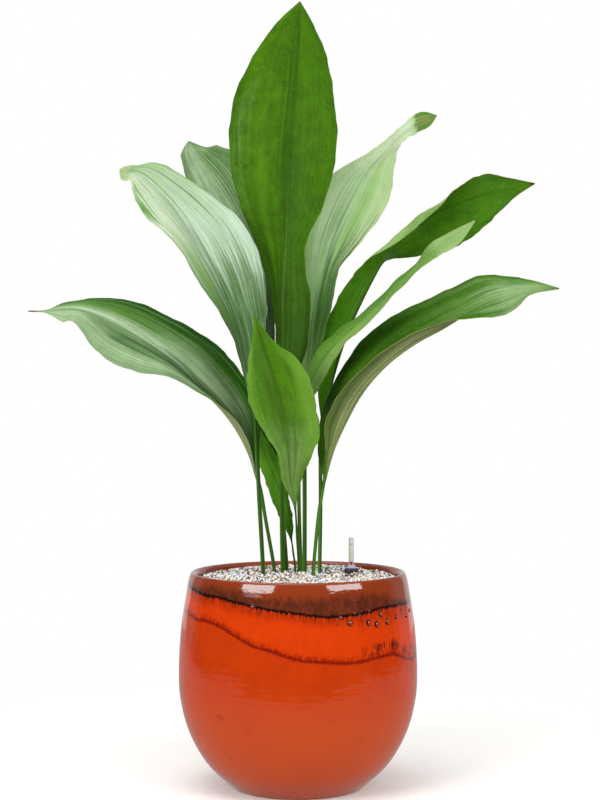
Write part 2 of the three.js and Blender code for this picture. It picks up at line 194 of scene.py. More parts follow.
def meshObject(name, points, faces, material):
    mesh = bpy.data.meshes.new(name)
    mesh.from_pydata(points, [], faces)
    mesh.materials.append(material)
    return linked(name, mesh)


def pieceFrom(name, points, faces, material, slot, nodes=(), body="planter", smooth=True, sharp=None):
    piece = meshObject(name, points, faces, material)
    piece.data.polygons.foreach_set("use_smooth", [smooth] * len(faces))
    if sharp:
        piece.data.set_sharp_from_angle(angle=math.radians(sharp))
    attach(piece, body)
    if nodes:
        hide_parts(*nodes)
    return piece


def dressNode(name, material):
    # a CAD solid that stays gets a material of its own
    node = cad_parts[name]
    node.data.materials.clear()
    node.data.materials.append(material)
    return node


def giveVectors(piece, name, vectors):
    layer = piece.data.attributes.new(name, "FLOAT_VECTOR", "POINT")
    layer.data.foreach_set("vector", np.asarray(vectors, np.float32).ravel())


def around(turn, reach, height, center=(0, 0), scale=1):
    # a point at a turn from the front, a reach from the center and a height
    return ((center[0] + math.sin(turn) * reach) * scale, (center[1] - math.cos(turn) * reach) * scale,
            height * scale)


def facesBetween(rings, closed=True):
    # four-sided faces from each ring of points to the next, or triangles where a ring is one point
    faces = []
    for low, high in zip(rings, rings[1:]):
        for i in range(len(low) if closed else len(low) - 1):
            k = (i + 1) % len(low)
            corners = [low[i], low[k], high[k], high[i]]
            corners = [c for n, c in enumerate(corners) if c != corners[n - 1]]
            if len(corners) > 2:
                faces.append(corners)
    return faces


def lathe(profile, sides, center=(0, 0)):
    # [radius, height] pairs in mm, turned round an upright line; a profile that doesn't start on it is closed
    points, rings = [], []
    for radius, height in profile:
        if radius < tiny:
            rings.append([len(points)] * sides)
            points.append(around(0, 0, height, center, mm))
        else:
            rings.append([len(points) + i for i in range(sides)])
            points += [around(2 * math.pi * i / sides, radius, height, center, mm) for i in range(sides)]
    if profile[0][0] > tiny:
        rings.append(rings[0])
    return points, facesBetween(rings)


def curveAt(p, i, u):
    # an even curve through the points p, at share u of the way from point i + 1 to the next
    b, c = p[i + 1], p[i + 2]
    slopeB, slopeC = (c - p[i]) / 2, (p[i + 3] - b) / 2
    return (b + slopeB * u + (3 * c - 3 * b - 2 * slopeB - slopeC) * u ** 2
            + (2 * b - 2 * c + slopeB + slopeC) * u ** 3)


def splineThrough(points, steps):
    p = np.array([points[0], *points, points[-1]], float)
    shares = np.linspace(0, 1, steps, endpoint=False)
    return [*(curveAt(p, i, u) for i in range(len(points) - 1) for u in shares), p[-1]]


def rounded(profile, radius, steps=4):
    # a closed profile with its corners rounded
    found = []
    corners = np.array(profile, float)
    for before, corner, after in zip(np.roll(corners, 1, 0), corners, np.roll(corners, -1, 0)):
        arms = [before - corner, after - corner]
        sizes = [np.linalg.norm(arm) for arm in arms]
        reach = min(radius, sizes[0] * 0.45, sizes[1] * 0.45)
        start, end = (corner + arm / size * reach for arm, size in zip(arms, sizes))
        for u in np.linspace(0, 1, steps):
            found.append(tuple(start * (1 - u) ** 2 + corner * 2 * u * (1 - u) + end * u ** 2))
    return found


# Camera
cameraPlan = dict(location=(0.00212, -1.7, 0.4065), lens=72.17)
camera = linked("camera", bpy.data.cameras.new("camera"))
camera.location = cameraPlan["location"]
camera.rotation_euler = (math.pi / 2, 0, 0)
camera.data.lens = cameraPlan["lens"]
bpy.context.scene.camera = camera

# Pot
potPlan = dict(
    sides=256, belly=126, footEdge=3,
    outside=[(70, 0), (96, 24.5), (114.5, 56), (124, 90), (126, 122), (123.3, 169), (116.3, 214.5)],
    inside=[(106, 216.5), (114, 169), (117, 122), (115, 90), (105, 56), (90, 32), (69, 12)],
    rim=[(116.3, 214.5), (115.5, 218.2), (114.5, 221.3), (113.4, 223.9), (112, 225), (110.2, 224.7),
         (108.3, 223.2), (106.8, 220.5), (106, 216.5)],
    outsideSteps=24, insideSteps=5, rimSteps=6,
    # height of the black glaze line and of the dark red one by angle, 0 at the front and + to the right
    blackLine=[(-180, 206), (-130, 210), (-77, 213.5), (-56, 208.5), (-42, 208), (-31, 204.5), (-22, 201.5),
               (-13, 199), (-3, 196.5), (5, 194), (14, 192), (23, 192.4), (33, 194), (44, 197), (58, 197.3),
               (79, 196.3), (120, 200), (180, 206)],
    redLine=[(-180, 170), (-120, 186), (-72, 187), (-58, 182), (-50, 183), (-40, 179.5), (-34, 174.5),
             (-27, 168), (-21, 162.5), (-12, 158.5), (-3, 152), (3, 149.3), (13, 147.7), (22, 145.7),
             (31, 146.3), (42, 149), (51, 149.7), (61, 142), (73, 138), (110, 146), (150, 160), (180, 170)],
    # how far the smoke rises over the black line, in mm, by angle
    smoke=[(-180, 9), (-100, 5), (-63, 4), (-55, 9), (-44, 10), (-30, 13), (-15, 11), (0, 15), (12, 18),
           (22, 21), (34, 19), (46, 14), (56, 8), (66, 4), (90, 5), (180, 9)],
    inner=(110, 100, 400),        # nearer and higher than this, the wall counts as far over both lines
    tufted=(28, 8, 100, 20),      # where the tufts start, over how many degrees, and the same for their end
    band="9c3e1c", bandDark="54281a", black="1a0d0b", bright="ee4504", shade="b83006",
    feather="7e1e06", tuft="421406", red="8e1804", body="de4306", bodyDeep="ce3a06",
    bodyLow="d84e0c", speck="200a04", gloss=0.07, glossTint=(0.82, 1, 1, 1),
    # small blots under the glaze: angle, height, radius in mm and share
    blots=[(-39.6, 89.6, 5, 0.26), (-37.6, 87.8, 3.4, 0.3), (-23.7, 77.8, 6, 0.12), (-15.5, 65.2, 5, 0.1),
           (-38.6, 46.4, 1.8, 0.7), (15.4, 91, 5, 0.1), (32, 69.5, 5, 0.12)],
    blot="8c2404", blotFlat=1.3, degree=2.1,      # a degree is about 2.1 mm of the wall
    lineHalf=(0.3, 2.6),                          # a glaze line thins out between these, in mm from its middle
    lowBody=(60, 140),                            # the foot's colour gives way to the body's at these heights
    calm=(120, 180),                              # the waves in the gloss grow faint at these heights
    ridged=(-34, 38), ridgesEnd=(125, 155),       # angles of the front's stronger ridges, and where they end
    pitted=(-28, -18.5, 209.5, 216),              # angles and heights of the pits below the rim
    relief=(0.0006, 0.5),                         # depth in metres and strength of the waves, ridges and pits
)


def potGlaze():
    plan = potPlan
    material, wire = startMaterial("potGlaze", Roughness=plan["gloss"], IOR=1.5,
                                   Specular_Tint=plan["glossTint"])
    overBlack, overRed, height = attribute(wire, "glazeHeights").parts()
    rightSide, angle, smokeTop = attribute(wire, "glazeTurn").parts()
    facing = 1 - spot(wire).parts()[1].rise(-0.02, 0)
    fine = noise(wire, 700, 2, 0.12)
    streaks = noise(wire, 260, 3, 0.14)
    ragged = noise(wire, 420, 2, 0.4)
    clouds = noise(wire, 150, 4, 0.45, 0.65)
    grain = noise(wire, 1300)
    # the brown band at the rim is smoky over the black line, with redder flames in the smoke
    cover = 1 - ((overBlack + (streaks - 0.5) * 16 + (fine - 0.5) * 8) / smokeTop).rise(0.6, 1.25)
    flames = (clouds * 0.8 + streaks * 0.6 + grain * 0.2 - 0.3).rise(0.32, 0.6)
    smoke = cover * (0.5 + flames * 0.5) * (1 - grain.rise(0.5, 0.7) * 0.55)
    brown = smoke.mixed(plan["band"], plan["bandDark"])
    # the bright band runs down from the black line in fine streaks
    run = overBlack * -1
    lines = (fine * 0.6 + streaks * 0.5 - 0.05).rise(0.36, 0.7)
    bright = ((1 - run.rise(0, 16)) * (0.5 + lines * 0.4)).mixed(plan["bright"], plan["shade"])
    bright = (clouds.rise(0.4, 0.7) * 0.25).mixed(bright, plan["shade"])
    feather = (1 - run.rise(0, 8 + rightSide * 12 + streaks * 12)) * lines * 0.85
    bright = feather.mixed(bright, plan["feather"])
    tufts = (noise(wire, 110, 2, 0.7) * 0.6 + fine * 0.7 + clouds * 0.4 - 0.35).rise(0.46, 0.58)
    bright = (tufts * band(overRed, 4, 14, 4) * rightSide * 0.85).mixed(bright, plan["tuft"])
    # the body is a little deeper in clouds, and has its blots
    body = (clouds * 0.5 + noise(wire, 26) * 0.6).rise(0.3, 0.8).mixed(plan["body"], plan["bodyDeep"])
    body = height.rise(*plan["lowBody"]).mixed(plan["bodyLow"], body)
    for where, high, reach, share in plan["blots"]:
        across, up = (angle - where) * plan["degree"] / reach, (height - high) * plan["blotFlat"] / reach
        near = 1 - (across * across + up * up + (ragged - 0.5) * 2).rise(0.1, 1.3)
        body = (near * facing * share).mixed(body, plan["blot"])
    # both lines are ragged
    redEdge, blackEdge = (line + ragged * 3 - 1.5 for line in (overRed, overBlack))
    color = redEdge.rise(-0.3, 0.5).mixed(body, bright)
    redLine = 1 - abs(redEdge).rise(*plan["lineHalf"])
    fringe = (1 - overRed.rise(0, 9)) * overRed.rise(-0.5, 0.5)
    fringe = fringe * (grain * 0.5 + ragged * 0.5).rise(0.42, 0.54)
    color = (redLine * 0.8 + fringe).mixed(color, plan["red"])
    color = blackEdge.rise(-0.6, 0.8).mixed(color, brown)
    spikes = (1 - run.rise(0, 6)) * run.rise(-0.5, 0.5) * (lines * 0.9 - 0.1)
    dark = (1 - abs(blackEdge + (fine - 0.5) * 4).rise(*plan["lineHalf"])) * 0.95 + spikes
    color = dark.rise(0.1, 1).mixed(color, plan["black"])
    color = (grain.rise(0.35, 0.75) * 0.14).mixed(color, plan["speck"])
    # the gloss lies in waves and level ridges, fainter towards the rim, with pits below it
    upper = height.rise(*plan["calm"])
    front = band(angle, *plan["ridged"], 9) * (1 - height.rise(*plan["ridgesEnd"])) * facing * 0.8
    start, end, low, high = plan["pitted"]
    pits = band(angle, start, end, 2) * band(height, low, high, 1.5) * facing * noise(wire, 900, 1)
    skin = (noise(wire, 55, 3, 1.6) + noise(wire, 420) * 0.06 + pits * 0.9
            + noise(wire, 34, 1, 6) * (0.7 - upper * 0.65 + front)
            + noise(wire, 130, 2, 4) * (0.16 - upper * 0.16)
            + noise(wire, 210) * height.rise(190, 205) * 0.16)
    return feed(material, Base_Color=color, Normal=bump(skin, *plan["relief"]))


def buildPot():
    plan = potPlan
    outside = [(min(r, plan["belly"]), z) for r, z in splineThrough(plan["outside"], plan["outsideSteps"])]
    foot = plan["outside"][0][0]
    rim = splineThrough(plan["rim"], plan["rimSteps"])[1:-1]
    inside = splineThrough(plan["inside"], plan["insideSteps"])
    profile = [(0, 0), (foot - plan["footEdge"], 0), (foot, 0), *outside[1:], *rim, *inside,
               (0, plan["inside"][-1][1])]
    points, faces = lathe(profile, plan["sides"])
    pot = pieceFrom("glazedPot", points, faces, potGlaze(), "glazed_clay", ["pot"], sharp=50)
    x, y, z = (np.array(points) / mm).T
    turn = np.degrees(np.arctan2(x, -y))
    black, red, smoky = (np.interp(turn, *zip(*plan[name])) for name in ("blackLine", "redLine", "smoke"))
    reach, floor, far = plan["inner"]
    lift = far * (np.hypot(x, y) < reach) * (z > floor)
    giveVectors(pot, "glazeHeights", np.stack([z - black + lift, z - red + lift, z], 1))
    start, soft, end, fade = plan["tufted"]
    right = np.clip((turn - start) / soft, 0, 1) * np.clip((end - turn) / fade, 0, 1)
    giveVectors(pot, "glazeTurn", np.stack([right, turn, smoky], 1))


buildPot()
print("pot made")

# Drops in the glaze
dropPlan = dict(
    sides=20, color="c03808", edge="160a08", edgeReach=1.2, lift=1.1, mostLift=1.6, scale=1.25,
    # angle, height and radius in mm, and how much longer than wide
    drops=[(-22.5, 201, 1.5, 1.2), (20.9, 190.7, 1.4, 1), (25.3, 184.9, 2, 1.1), (28.7, 206.6, 0.8, 1),
           (28.2, 194.6, 1, 1), (31, 192.1, 0.9, 1), (35.6, 183.7, 2, 1.3), (40.5, 181.1, 2, 1.4),
           (43.7, 190.7, 1.9, 1.4), (47.9, 182, 1.9, 1.6), (55.3, 185.2, 1.3, 1.5), (66.7, 184.1, 1.6, 1.4),
           (19.1, 185.2, 0.7, 1), (36.7, 195.7, 0.8, 1), (61, 193, 1, 1.4), (73, 188, 1.2, 1.3)],
    # reach and height of its rings, as shares of its radius
    rings=[(1.35, -0.35), (1.2, 0.06), (1.02, 0.12), (0.9, 0.4), (0.7, 0.62), (0.4, 0.76), (0, 0.8)],
)


def dropGlaze():
    material, wire = startMaterial("dropGlaze", Roughness=0.04, IOR=1.5)
    edge = attribute(wire, "dropEdge").parts()[0]
    edge = (edge + noise(wire, 900, 1) * 0.3 - 0.15).rise(0.42, 0.68)
    color = edge.mixed(dropPlan["color"], dropPlan["edge"])
    return feed(material, Base_Color=color)


def buildDrops():
    plan, sides = dropPlan, dropPlan["sides"]
    radii, heights = zip(*splineThrough(potPlan["outside"], potPlan["outsideSteps"]))
    points, faces, edges = [], [], []
    for angle, height, size, stretch in plan["drops"]:
        size = size * plan["scale"]
        a = math.radians(angle)
        below, radius, above = np.interp([height - 1, height, height + 1], heights, radii)
        out = Vector((math.sin(a), -math.cos(a), (below - above) / 2)).normalized()
        right = Vector((math.cos(a), math.sin(a), 0))
        up = out.cross(right)
        middle = Vector(around(a, radius, height))
        rings = []
        for reach, lift in plan["rings"]:
            count = sides if reach else 1
            rings.append([len(points) + i % count for i in range(sides)])
            for i in range(count):
                b = 2 * math.pi * i / sides
                tail = stretch if math.sin(b) > 0 else 1
                p = middle + right * (math.cos(b) * reach * size) + up * (math.sin(b) * reach * size * tail)
                points.append(tuple((p + out * (lift * plan["lift"] * min(size, plan["mostLift"]))) * mm))
                edges.append((min(1, reach / plan["edgeReach"]), 0, 0))
        faces += [*facesBetween(rings), rings[0][::-1]]
    drops = pieceFrom("glazeDrops", points, faces, dropGlaze(), "glazed_clay")
    giveVectors(drops, "dropEdge", edges)


buildDrops()
print("glaze drops made")

# Leaves. They are drawn as they look from the front: [across, up, depth] in mm, from the stalk up to the tip.
# Each station of a blade gives its midrib, its left margin and its right margin.
leafPlan = dict(
    viewDistance=1700, viewHeight=406.5, stalkFoot=168, tipHalf=0.6,
    marginThickness=0.8, marginThinned=0.45, stalkCrown=0.7, halfBow=0.07,
    stalkRows=6, bladeRows=14, halfColumns=36,
    # waves of the margins in mm, how fast they follow each other, and where the left and the right one start
    wave=1.2, wavePace=2.1, waveStart=(0, 1.3),
    ruffle=0.4, rufflePace=5.3, ruffleStart=(0.4, 2.1),
    nicks=3.15, nickPaces=(7.3, 11.9, 19.7), nickStart=(0.3, 1.9),
    narrow=4,                           # where the blade is narrower, its nicks are smaller
    pleats=9, pleatDepth=0.22, pleatFull=30, grooveDepth=0.4, grooveHalf=1.1,
    stationStep=40, stalkMargin=50,     # mm of stalk from station to station, and how far its edge is off
)
# What a leaf takes where it doesn't say. A wash over its upper or its lower face gives a colour, where it lies
# across (-1 to 1) and up the leaf (0 to 1), its share, how streaky it is and how soft.
leafLook = dict(
    slot="leaf_deep_green", deep="386404", fresh="548a0a", under="a8c488", underDeep="88a868", rib="2f5514",
    ribHalf=1.5, ribShare=0.4, ribEnd=(0.6, 1), vein="20400c", veinShare=1, veinDepth=0.3, relief=1,
    grain=0.28, glint=0.12, glintColor="a8cc80", edge="b8a468", edgeShare=0, dry="7a6038", tipBrown=3,
    stalkFreshLit="5a8f30", stalkDeep="1e3c10", rough=0.38, shine=0.04, roll=None, upper=[], lower=[],
)
leaves = [
  dict(
    name="leaf_centre_tall", rib="7c9c50", ribHalf=0.9, ribEnd=(0.3, 0.6), veinShare=0.9, relief=0.35,
    grain=0.5, glint=0.2, glintColor="7ca838", tipBrown=4, rough=0.45,
    upper=[
      # painted highlight: a0bc80 lays pale streaks on the blade's left side, where that side catches the light
      ("a0bc80", -0.88, -0.66, 0.44, 0.7, 0.3, 1, 0.04),
      ("2c4c08", -0.15, 0.1, 0.35, 0.97, 0.55, 0.3, 0.08), ("2a4c0a", -2, 2, -1, 0.3, 0.8, 0.3, 0.12),
      ("5c8838", 0.1, 0.8, 0.04, 0.32, 0.45, 0.9, 0.12),
      ("427404", 0.2, 0.95, 0.45, 0.95, 0.4, 0.3, 0.15),
      ("5e8e24", -0.6, -0.2, 0.4, 0.95, 0.35, 0.9, 0.12)],
    stalkRadius=2.6, stalk=[[-16, 227, 6], [-17, 300, 6], [-17, 364, 7], [-16, 406, 8]], tip=[2, 829, 42],
    blade=[
      [[-16, 460, 9], [-23, 460, 8], [8, 457, 14]], [[-16, 512, 10], [-28, 516, 10], [13, 512, 12]],
      [[-13, 566, 13], [-41, 563, 12], [7, 566, 9]], [[-11, 618, 17], [-64, 622, 12], [29, 618, 8]],
      [[-8, 672, 21], [-73, 672, 12], [41, 673, 10]], [[-4, 724, 26], [-68, 726, 15], [38, 727, 15]],
      [[-1, 772, 32], [-47, 772, 25], [30, 772, 24]], [[1, 807, 38], [-22, 807, 35], [15, 807, 35]]],
  ),
  dict(
    name="leaf_left_high", slot="leaf_pale_gloss", deep="5f8c4c", fresh="90ba78", ribShare=0.15,
    vein="38701c", veinShare=2, relief=1.5, grain=0.15, glint=0.3, glintColor="e4f4dc", edgeShare=0.1,
    dry="d0b890", tipBrown=1.5, rough=0.36, shine=0.15,
    upper=[
      # painted sheen: the pale washes d8eed4 and e0f0cc stand in for the glossy reflection over the upper face
      ("d8eed4", -1.3, 1.2, 0.4, 0.8, 1, 0.4, 0.12), ("e0f0cc", -1.3, -0.2, 0.5, 0.84, 0.9, 0.3, 0.1),
      ("90be60", -1.3, -0.25, 0.26, 0.5, 0.85, 0.3, 0.1),
      ("5c9c20", -1.3, -0.68, 0.62, 0.75, 1, 0.2, 0.05),
      ("94c45c", 0.05, 1.3, 0.66, 0.84, 0.9, 0.8, 0.08), ("2c5414", -2, 2, -1, 0.38, 0.95, 0.5, 0.14),
      ("d8e8ac", -2, 2, 0.84, 2, 0.8, 0.4, 0.06)],
    stalkRadius=2.2, stalk=[[-37, 226, -4], [-41, 300, -8], [-44, 364, -9], [-46, 396, -9]],
    tip=[-189, 651, -58],
    blade=[
      [[-52, 434, -10], [-58, 434, -14], [-38, 440, -8]],
      [[-60, 471, -13], [-69, 471, -24], [-34, 483, -6]],
      [[-73, 505, -18], [-86, 505, -36], [-33, 512, -7]],
      [[-91, 542, -23], [-109, 538, -48], [-39, 553, -8]],
      [[-111, 578, -30], [-131, 573, -58], [-59, 595, -9]],
      [[-135, 612, -38], [-159, 600, -64], [-97, 628, -12]],
      [[-160, 640, -46], [-173, 621, -60], [-144, 656, -28]],
      [[-175, 649, -51], [-178, 638, -55], [-168, 656, -45]],
      [[-184, 650, -55], [-187, 640, -57], [-181, 655, -52]]],
  ),
  dict(
    name="leaf_left_back", slot="leaf_pale_gloss", deep="44782c", fresh="74a44c", vein="1c4808",
    veinShare=2.8, relief=2.2, glint=0.55, glintColor="d8f0c4", edgeShare=0.1, tipBrown=0.5, shine=0.06,
    upper=[
      # painted sheen: the pale washes d4ecc4 and b8dc9c stand in for the glossy reflection over the blade
      ("d4ecc4", -1.1, 0.2, 0.5, 0.99, 0.95, 0.9, 0.15), ("b8dc9c", 0, 1.1, 0.5, 0.95, 0.9, 1, 0.15),
      ("4c7c34", -1.4, -0.72, 0.6, 0.87, 0.8, 0.5, 0.1),
      ("2c5c1c", 0.2, 1.2, 0.3, 0.85, 0.75, 0.95, 0.15), ("0c2400", -2, 2, -1, 0.46, 1, 0.1, 0.1)],
    stalkRadius=2, stalk=[[-12, 229, 26], [-16, 279, 28], [-20, 306, 29], [-22, 324, 30]],
    tip=[-116, 681, 98],
    blade=[
      [[-26, 367, 32], [-40, 368, 36], [-18, 367, 30]], [[-30, 412, 34], [-45, 412, 42], [-19, 412, 30]],
      [[-32, 460, 37], [-47, 460, 48], [-24, 460, 33]], [[-34, 507, 42], [-55, 507, 56], [-24, 512, 36]],
      [[-46, 553, 50], [-74, 544, 66], [-23, 566, 42]], [[-66, 592, 60], [-99, 581, 76], [-30, 613, 52]],
      [[-87, 629, 72], [-118, 641, 88], [-58, 661.5, 72]],
      [[-104, 656, 84], [-123.9, 663.5, 94], [-84, 675.8, 82]],
      [[-111, 672, 92], [-122.4, 672.2, 96], [-99, 675, 91]]],
  ),
  dict(
    name="leaf_left_low", deep="2f6410", fresh="548c28", under="b0bc84", underDeep="84985a", ribShare=0.1,
    vein="1c4c08", veinShare=2, glint=0.4, glintColor="b8d4a0", edgeShare=0.6, dry="5a4830", tipBrown=9,
    rough=0.36, shine=0.08,
    upper=[
      # painted sheen: the pale washes c4e0b0 and cce0c0 stand in for the glossy band along the middle of the
      # blade
      ("c4e0b0", -1.3, 0.25, 0.32, 0.97, 0.9, 0.7, 0.15),
      ("80ac54", 0.15, 0.7, 0.25, 0.9, 0.6, 0.85, 0.12), ("cce0c0", 0.2, 0.6, 0.18, 0.52, 0.7, 0.9, 0.1),
      ("cce0c0", -0.02, 0.3, 0.5, 0.86, 0.6, 0.9, 0.08),
      ("20500c", -0.5, -0.08, 0.4, 0.72, 0.9, 0.9, 0.08),
      # painted shade: 226000 darkens the strip along the upper margin
      ("1c480a", -0.3, 0.16, 0.14, 0.5, 1, 0.7, 0.07), ("226000", 0.7, 1.3, 0.1, 0.88, 1, 0.45, 0.1),
      ("3c6c1c", -2, 2, -1, 0.2, 0.6, 0.5, 0.12)],
    stalkRadius=1.8, stalk=[[-25, 227, 12], [-34, 279, 8], [-39, 309, 5], [-43, 324, 3]],
    tip=[-286, 501, -36],
    blade=[
      [[-52, 351, 0], [-49, 351, -6], [-41, 356, 12]], [[-66, 377, -3], [-59, 375, -20], [-41, 393, 20]],
      [[-84, 400, -6], [-78, 398, -30], [-50, 418, 24]],
      [[-108, 423, -10], [-106, 415, -40], [-65, 441, 26]],
      [[-138, 451, -14], [-140, 431, -46], [-92, 470, 24]],
      [[-170, 475, -18], [-178, 439, -46], [-133, 494, 18]],
      [[-199, 491, -22], [-212, 457, -44], [-173, 510, 8]],
      [[-227, 502, -26], [-237, 488, -40], [-210, 515, -8]],
      [[-250, 504, -30], [-250, 490, -36], [-244, 511, -20]],
      [[-269, 501, -33], [-268, 499, -34], [-266, 502, -31]]],
  ),
  dict(
    name="leaf_right_high", slot="leaf_pale_gloss", deep="5f9040", fresh="7cae54", under="b0da88",
    underDeep="8cbc66", vein="4c8030", veinShare=1.6, glint=0.3, glintColor="dcf4c4", edge="f0e8cc",
    edgeShare=0.4, dry="8a7f58",
    lower=[
      # painted sheen: d0ead0 lays a pale bluish gloss over the right margin's half
      ("d0ead0", -0.15, 0.6, 0.26, 0.8, 0.85, 0.85, 0.15),
      ("b4de88", -1.2, -0.3, 0.34, 0.85, 0.75, 0.3, 0.2),
      ("d0ecb4", 0.25, 1.3, 0.36, 0.7, 0.75, 0.5, 0.15),
      ("e0f0c4", -1.3, -0.55, 0.28, 0.56, 0.75, 0.6, 0.12),
      # painted shade: 2a6004 darkens the left margin's half low on the blade
      ("e0eccc", -2, 2, 0.62, 0.84, 0.8, 0.4, 0.08), ("2a6004", -1.3, 0, -1, 0.37, 1, 0.15, 0.07),
      ("7ca45c", -0.05, 1.2, -1, 0.4, 0.75, 0.6, 0.12), ("5c8c2c", -2, 2, 0.83, 2, 1, 0, 0.01),
      ("a89c74", -0.5, 0.5, 0.84, 0.95, 0.6, 0.8, 0.03)],
    stalkRadius=2.2, stalk=[[7, 225, 2], [7, 300, 8], [7, 364, 14], [8, 401, 18]], tip=[147, 708, 60],
    blade=[
      [[11, 437, 22], [18, 436, 26], [3, 444, 20]], [[14, 473, 26], [26, 470, 34], [2, 475, 22]],
      [[19, 509, 30], [36, 509, 40], [-1, 509, 22]], [[28, 546, 34], [44, 545, 46], [2, 553, 26]],
      [[39, 581, 38], [72, 580, 52], [5, 589, 30]], [[55, 616, 42], [95, 616, 56], [16, 626, 34]],
      [[73, 648, 46], [103, 659, 56], [39, 648, 40]], [[96, 674, 50], [108, 676, 52], [79, 672, 48]],
      [[110, 688, 54], [115, 683, 52], [105, 693, 56]], [[125, 699, 56], [127, 690, 58], [123, 709, 60]],
      [[137, 704, 58], [140, 697, 58], [134, 712, 60]]],
  ),
  dict(
    name="leaf_right_folded", deep="346402", fresh="467c04", under="ccf898", underDeep="b4e880",
    ribShare=0.3, grain=0.5, glint=0.2, glintColor="74a42c", edgeShare=0.6, dry="4a2c20", tipBrown=5,
    rough=0.45, roll=(0.42, 0.685, 10, 0.02),
    upper=[
      ("4a8c10", -2, 2, -1, 0.36, 0.7, 0.3, 0.08), ("5c9a20", -0.6, 0.9, 0.7, 0.95, 0.4, 0.5, 0.15),
      # painted shade: 1c3c08 lays a dark shadow along the crease by the midrib, low on the blade
      ("1c3c08", -0.1, 0.3, -1, 0.42, 0.85, 0, 0.04)],
    stalkRadius=1.9, stalk=[[23, 226, -2], [24, 290, 2], [24, 354, 8], [26, 380, 14]], tip=[251, 636, 92],
    blade=[
      [[37, 425, 30], [21, 415, 24], [38, 430, 40]], [[49, 465, 40], [21, 465, 44], [46, 463, 62]],
      [[63, 498, 50], [39, 508, 46], [55, 500, 76]], [[78, 529, 58], [57, 537, 50], [70, 531, 88]],
      [[91, 553, 66], [75, 557, 50], [88, 551, 96]], [[106, 573, 74], [108, 583, 46], [114, 557, 92]],
      [[127, 591, 80], [129, 603, 50], [142, 561, 86]], [[152, 606, 84], [154, 619, 60], [171, 571, 82]],
      [[176, 616, 86], [173, 634, 72], [193, 586, 84]], [[200, 624, 88], [197, 646, 84], [213, 605, 88]],
      [[226, 630, 90], [224, 642, 90], [231, 622, 91]]],
  ),
  dict(
    name="leaf_right_narrow", slot="leaf_mid_green", deep="5c922c", fresh="80b44c", under="a8c48c",
    underDeep="8cb06c", ribShare=0.3, edgeShare=0.4, tipBrown=1, shine=0.08,
    upper=[
      ("a8cc74", 0.2, 1.2, 0.05, 0.6, 0.6, 0.6, 0.2), ("b4d48c", -2, 2, 0.8, 2, 0.7, 0.3, 0.06),
      ("4c8024", -1.2, -0.3, 0.3, 0.78, 0.6, 0.4, 0.12), ("6ca83c", 0, 1.2, 0.62, 0.8, 0.7, 0.2, 0.06)],
    stalkRadius=1.8, stalk=[[3, 228, 14], [1, 290, 10], [1, 354, 4], [3, 380, 0]], tip=[188, 597, -60],
    blade=[
      [[8, 409, -4], [4, 412, 4], [14, 404, -8]], [[17, 434, -8], [10, 438, 8], [22, 419, -16]],
      [[30, 455, -13], [21, 462, 10], [35, 444, -26]], [[48, 474, -18], [41, 480, 10], [51, 466, -36]],
      [[68, 492, -24], [63, 494, 8], [72, 486, -44]], [[89, 511, -30], [86, 517, 2], [93, 510, -52]],
      [[109, 530, -36], [106, 536, -6], [113, 528, -58]],
      [[129, 549, -42], [124, 549, -16], [134, 550, -62]],
      [[147, 567, -48], [138, 571, -30], [151, 561, -64]],
      [[166, 581, -54], [160, 584, -46], [171, 572, -62]]],
  ),
  dict(
    name="leaf_right_low", deep="326c02", fresh="528e06", under="a0ac68", underDeep="506e28", ribShare=0.2,
    veinShare=1.4, glint=0.25, edgeShare=0.7, shine=0.02,
    upper=[
      ("8cb468", -0.9, 0.6, 0.56, 0.74, 0.5, 0.95, 0.12),
      ("b8d89c", -0.8, 1.2, 0.74, 0.97, 0.8, 0.7, 0.1),
      ("64a030", -0.7, 0.2, 0.15, 0.5, 0.6, 0.85, 0.12),
      ("387010", -1.2, -0.4, 0.78, 0.92, 0.6, 0.4, 0.1)],
    lower=[
      ("c0c490", 0, 0.7, 0.05, 0.6, 0.7, 1, 0.15), ("34541a", 0.5, 1.3, 0, 0.45, 0.85, 0.7, 0.15)],
    stalkRadius=1.7, stalk=[[16, 224, -22], [21, 279, -24], [25, 306, -25], [28, 322, -26]],
    tip=[277, 525, -62],
    blade=[
      [[37, 354, -28], [21, 351, -8], [29, 354, -38]], [[51, 385, -31], [24, 386, 4], [30, 387, -52]],
      [[69, 416, -34], [35, 420, 10], [47, 418, -62]], [[93, 443, -37], [58, 458, 10], [77, 446, -68]],
      [[122, 465, -40], [90, 488, 8], [111, 472, -72]],
      [[153, 482, -43], [125, 509, 4], [147, 488, -76]],
      [[180, 498, -46], [160, 524, -2], [180, 492, -78]],
      [[206, 511, -49], [194, 538, -12], [209, 495, -78]],
      [[228, 519, -52], [224, 538, -26], [230, 503, -76]],
      [[249, 523, -56], [246, 534, -44], [247, 518, -66]]],
  ),
  dict(
    name="leaf_front_small", slot="leaf_mid_green", deep="406e0a", fresh="609c10", ribShare=0.12,
    veinShare=0.8, relief=0.5, tipBrown=0.5, rough=0.45, shine=0.06,
    upper=[
      ("9cbc70", -0.9, 0.9, -1, 0.42, 0.7, 0.85, 0.18), ("80b43c", 0.6, 1.2, 0.2, 0.8, 0.7, 0.2, 0.15),
      ("4a7010", -0.4, 0.1, 0.35, 0.95, 0.7, 0.3, 0.12), ("84b840", -1.2, -0.8, 0.1, 0.8, 0.6, 0.2, 0.1)],
    stalkRadius=1.4, stalk=[[1, 228, 2], [-1, 263, -5], [-3, 293, -14]], tip=[-46, 496, -58],
    blade=[
      [[-7, 320, -20], [-17, 321, -24], [3, 320, -24]],
      [[-9, 346, -26], [-21, 347, -34], [14, 345, -36]],
      [[-13, 372, -32], [-36, 372, -42], [23, 370, -44]],
      [[-18, 397, -38], [-49, 397, -50], [20, 393, -50]],
      [[-24, 423, -43], [-54, 421, -56], [15, 422, -55]],
      [[-32, 448, -48], [-53, 448, -58], [0, 449, -58]],
